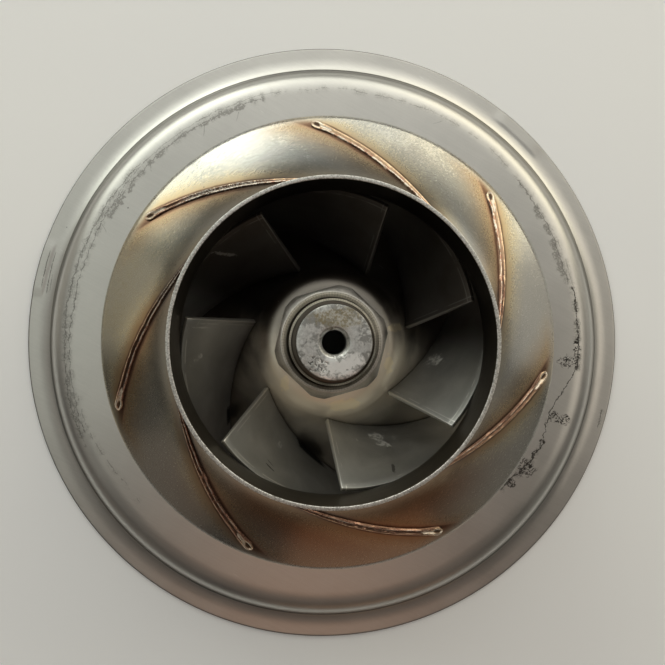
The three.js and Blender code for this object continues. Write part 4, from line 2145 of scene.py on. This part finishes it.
@dataclass
class Studio:
    """Camera, light and floor, in metres and degrees."""

    eye: Place = (-0.00582, 0.00072, 0.19777)
    tilt: Place = (0.509, -2.2, 0.0)
    floor: Finish = FloorFinish("pale_floor", (0.96, 0.97, 1.0), 0.8)
    world: Colour = (0.9, 0.86, 0.8)
    backdrop: float = 0.55
    gloom: float = 0.045
    floor_size: float = 3.0
    clip: float = 0.01
    softboxes: tuple[Softbox, ...] = (
        Softbox("window_left", 129.0, 28.0, 0.74, 0.46, 2.5, (0.97, 1.0, 0.9)),
        Softbox("window_middle", 90.0, 28.0, 0.9, 0.46, 1.75, (1.0, 1.0, 0.91)),
        Softbox("window_right", 45.0, 28.0, 0.9, 0.46, 2.4, (1.0, 0.93, 0.74)),
        Softbox("window_edge", 112.0, 21.0, 0.34, 0.2, 1.9, (1.0, 1.0, 0.9)),
        Softbox("right_side", 0.0, 48.0, 0.7, 0.4, 1.1, (1.0, 0.91, 0.78)),
        Softbox("right_low", 8.0, 14.0, 0.66, 0.3, 0.5, (1.0, 0.95, 0.84)),
        Softbox("near_right_low", 325.0, 15.0, 0.8, 0.3, 0.13, (1.0, 0.93, 0.78)),
        Softbox("left_low", 168.0, 15.0, 0.6, 0.3, 0.42, (1.0, 0.93, 0.76)),
        Softbox("near_left_low", 222.0, 16.0, 0.6, 0.24, 0.14, (1.0, 0.8, 0.6)),
        Softbox("upper_right", 45.0, 48.0, 0.8, 0.4, 0.78, (1.0, 0.97, 0.88)),
        Softbox("upper_middle", 90.0, 48.0, 0.8, 0.4, 1.1, (1.0, 1.0, 0.94)),
        Softbox("upper_left", 135.0, 48.0, 0.8, 0.4, 0.9, (0.97, 1.0, 0.93)),
        Softbox("upper_near", 270.0, 46.0, 1.3, 0.5, 0.1, (1.0, 0.75, 0.6)),
        Softbox("upper_far_left", 190.0, 42.0, 0.8, 0.5, 0.28, (1.0, 0.95, 0.84)),
        Softbox("high_right", 45.0, 68.0, 0.4, 0.4, 0.5, (0.97, 0.98, 0.94)),
        Softbox("high_middle", 90.0, 68.0, 0.4, 0.4, 0.8, (1.0, 0.98, 0.93)),
        Softbox("high_left", 135.0, 68.0, 0.4, 0.4, 0.4, (0.97, 1.0, 0.94)),
        Softbox("high_far_left", 180.0, 68.0, 0.4, 0.4, 0.83, (0.96, 1.0, 0.9)),
        Softbox("high_near", 270.0, 68.0, 0.4, 0.4, 0.6, (1.0, 0.56, 0.36)),
        Softbox("overhead", 300.0, 84.0, 0.4, 0.4, 0.42, (1.0, 0.99, 0.95)),
        Softbox("near_low", 281.0, 16.0, 0.86, 0.24, 0.28, (1.0, 0.52, 0.26)),
    )

    def light(self) -> None:
        """Hang the softboxes, and make the world dim for all but the eye."""
        for softbox in self.softboxes:
            softbox.build()
        world = bpy.data.worlds.new("studio")
        world.use_nodes = True
        bpy.context.scene.world = world
        graph = Graph(world.node_tree)
        seen = graph.out("ShaderNodeLightPath", {}, "Is Camera Ray")
        strength = graph.step(seen, 0.0, 1.0, self.gloom, self.backdrop)
        background = world.node_tree.nodes["Background"]
        graph.feed(background.inputs["Color"], self.world)
        graph.feed(background.inputs["Strength"], strength)

    def build(self) -> None:
        """Set up the camera, the light and the floor."""
        turn = [math.radians(angle) for angle in self.tilt]
        bpy.ops.object.camera_add(location=self.eye, rotation=turn)
        camera = bpy.context.object
        camera.data.sensor_width = SENSOR
        camera.data.lens = FOCAL_PIXELS / PHOTO_SIDE * SENSOR
        camera.data.clip_start = self.clip
        bpy.context.scene.camera = camera
        bpy.context.scene.view_settings.view_transform = "Standard"
        self.light()
        clear_selection()
        bpy.ops.mesh.primitive_plane_add(size=self.floor_size, location=(0, 0, 0))
        bench = Bench("studio_floor")
        bpy.ops.mesh.subdivide(number_cuts=3)
        floor = bench.leave()
        floor.data.materials.append(self.floor.material())
        log.info("studio with %d softboxes", len(self.softboxes))


def main() -> None:
    """Build the studio, then every sub-assembly in order, and report each."""
    logging.basicConfig(level=logging.INFO, format="%(message)s")
    Studio().build()
    weld = WeldFinish("copper_weld", (0.55, 0.33, 0.23), 0.28, 0.03)
    steel: Colour = (0.76, 0.73, 0.67)
    sleeve = TurnedFinish("turned_sleeve", steel, 0.34, ring=(9.0, 9.5), above=47.0, gap_shade=(7.8, 8.85))
    nut = TurnedFinish("nut_steel", steel, 0.4, ring=(10.4, 11.2), above=38.8, gap_shade=(9.7, 10.1))
    assemblies = (
        BackPlate(PlateFinish("satin_plate", (0.6, 0.59, 0.56), 0.36, 0.006), "plate_steel"),
        FrontShroud(ShroudFinish("tinted_shroud", (0.58, 0.57, 0.53), 0.26, 0.008), "shroud_steel"),
        InletCollar(CollarFinish("collar_ring", (0.4, 0.39, 0.37), 0.34, 0.02), "collar_steel"),
        Vanes(VaneFinish("dull_vane", (0.52, 0.52, 0.5), 0.5, 0.006), "vane_steel"),
        Bead(weld, "weld_metal", "front_bead", FLARE, (0.2, 0.94), 0.0, Vanes.tip_wrap),
        Bead(weld, "weld_metal", "rear_bead", CONE, (0.72, 0.12), 1.2, Vanes.root_wrap),
        HubSleeve(sleeve, "hub_steel"),
        HubNut(nut, "hub_steel"),
        HubNose(NoseFinish("nose_face", (0.56, 0.56, 0.54), 0.36), "nose_steel"),
    )
    for assembly in assemblies:
        assembly.build()
        assembly.dress()


if __name__ == "__main__":
    main()
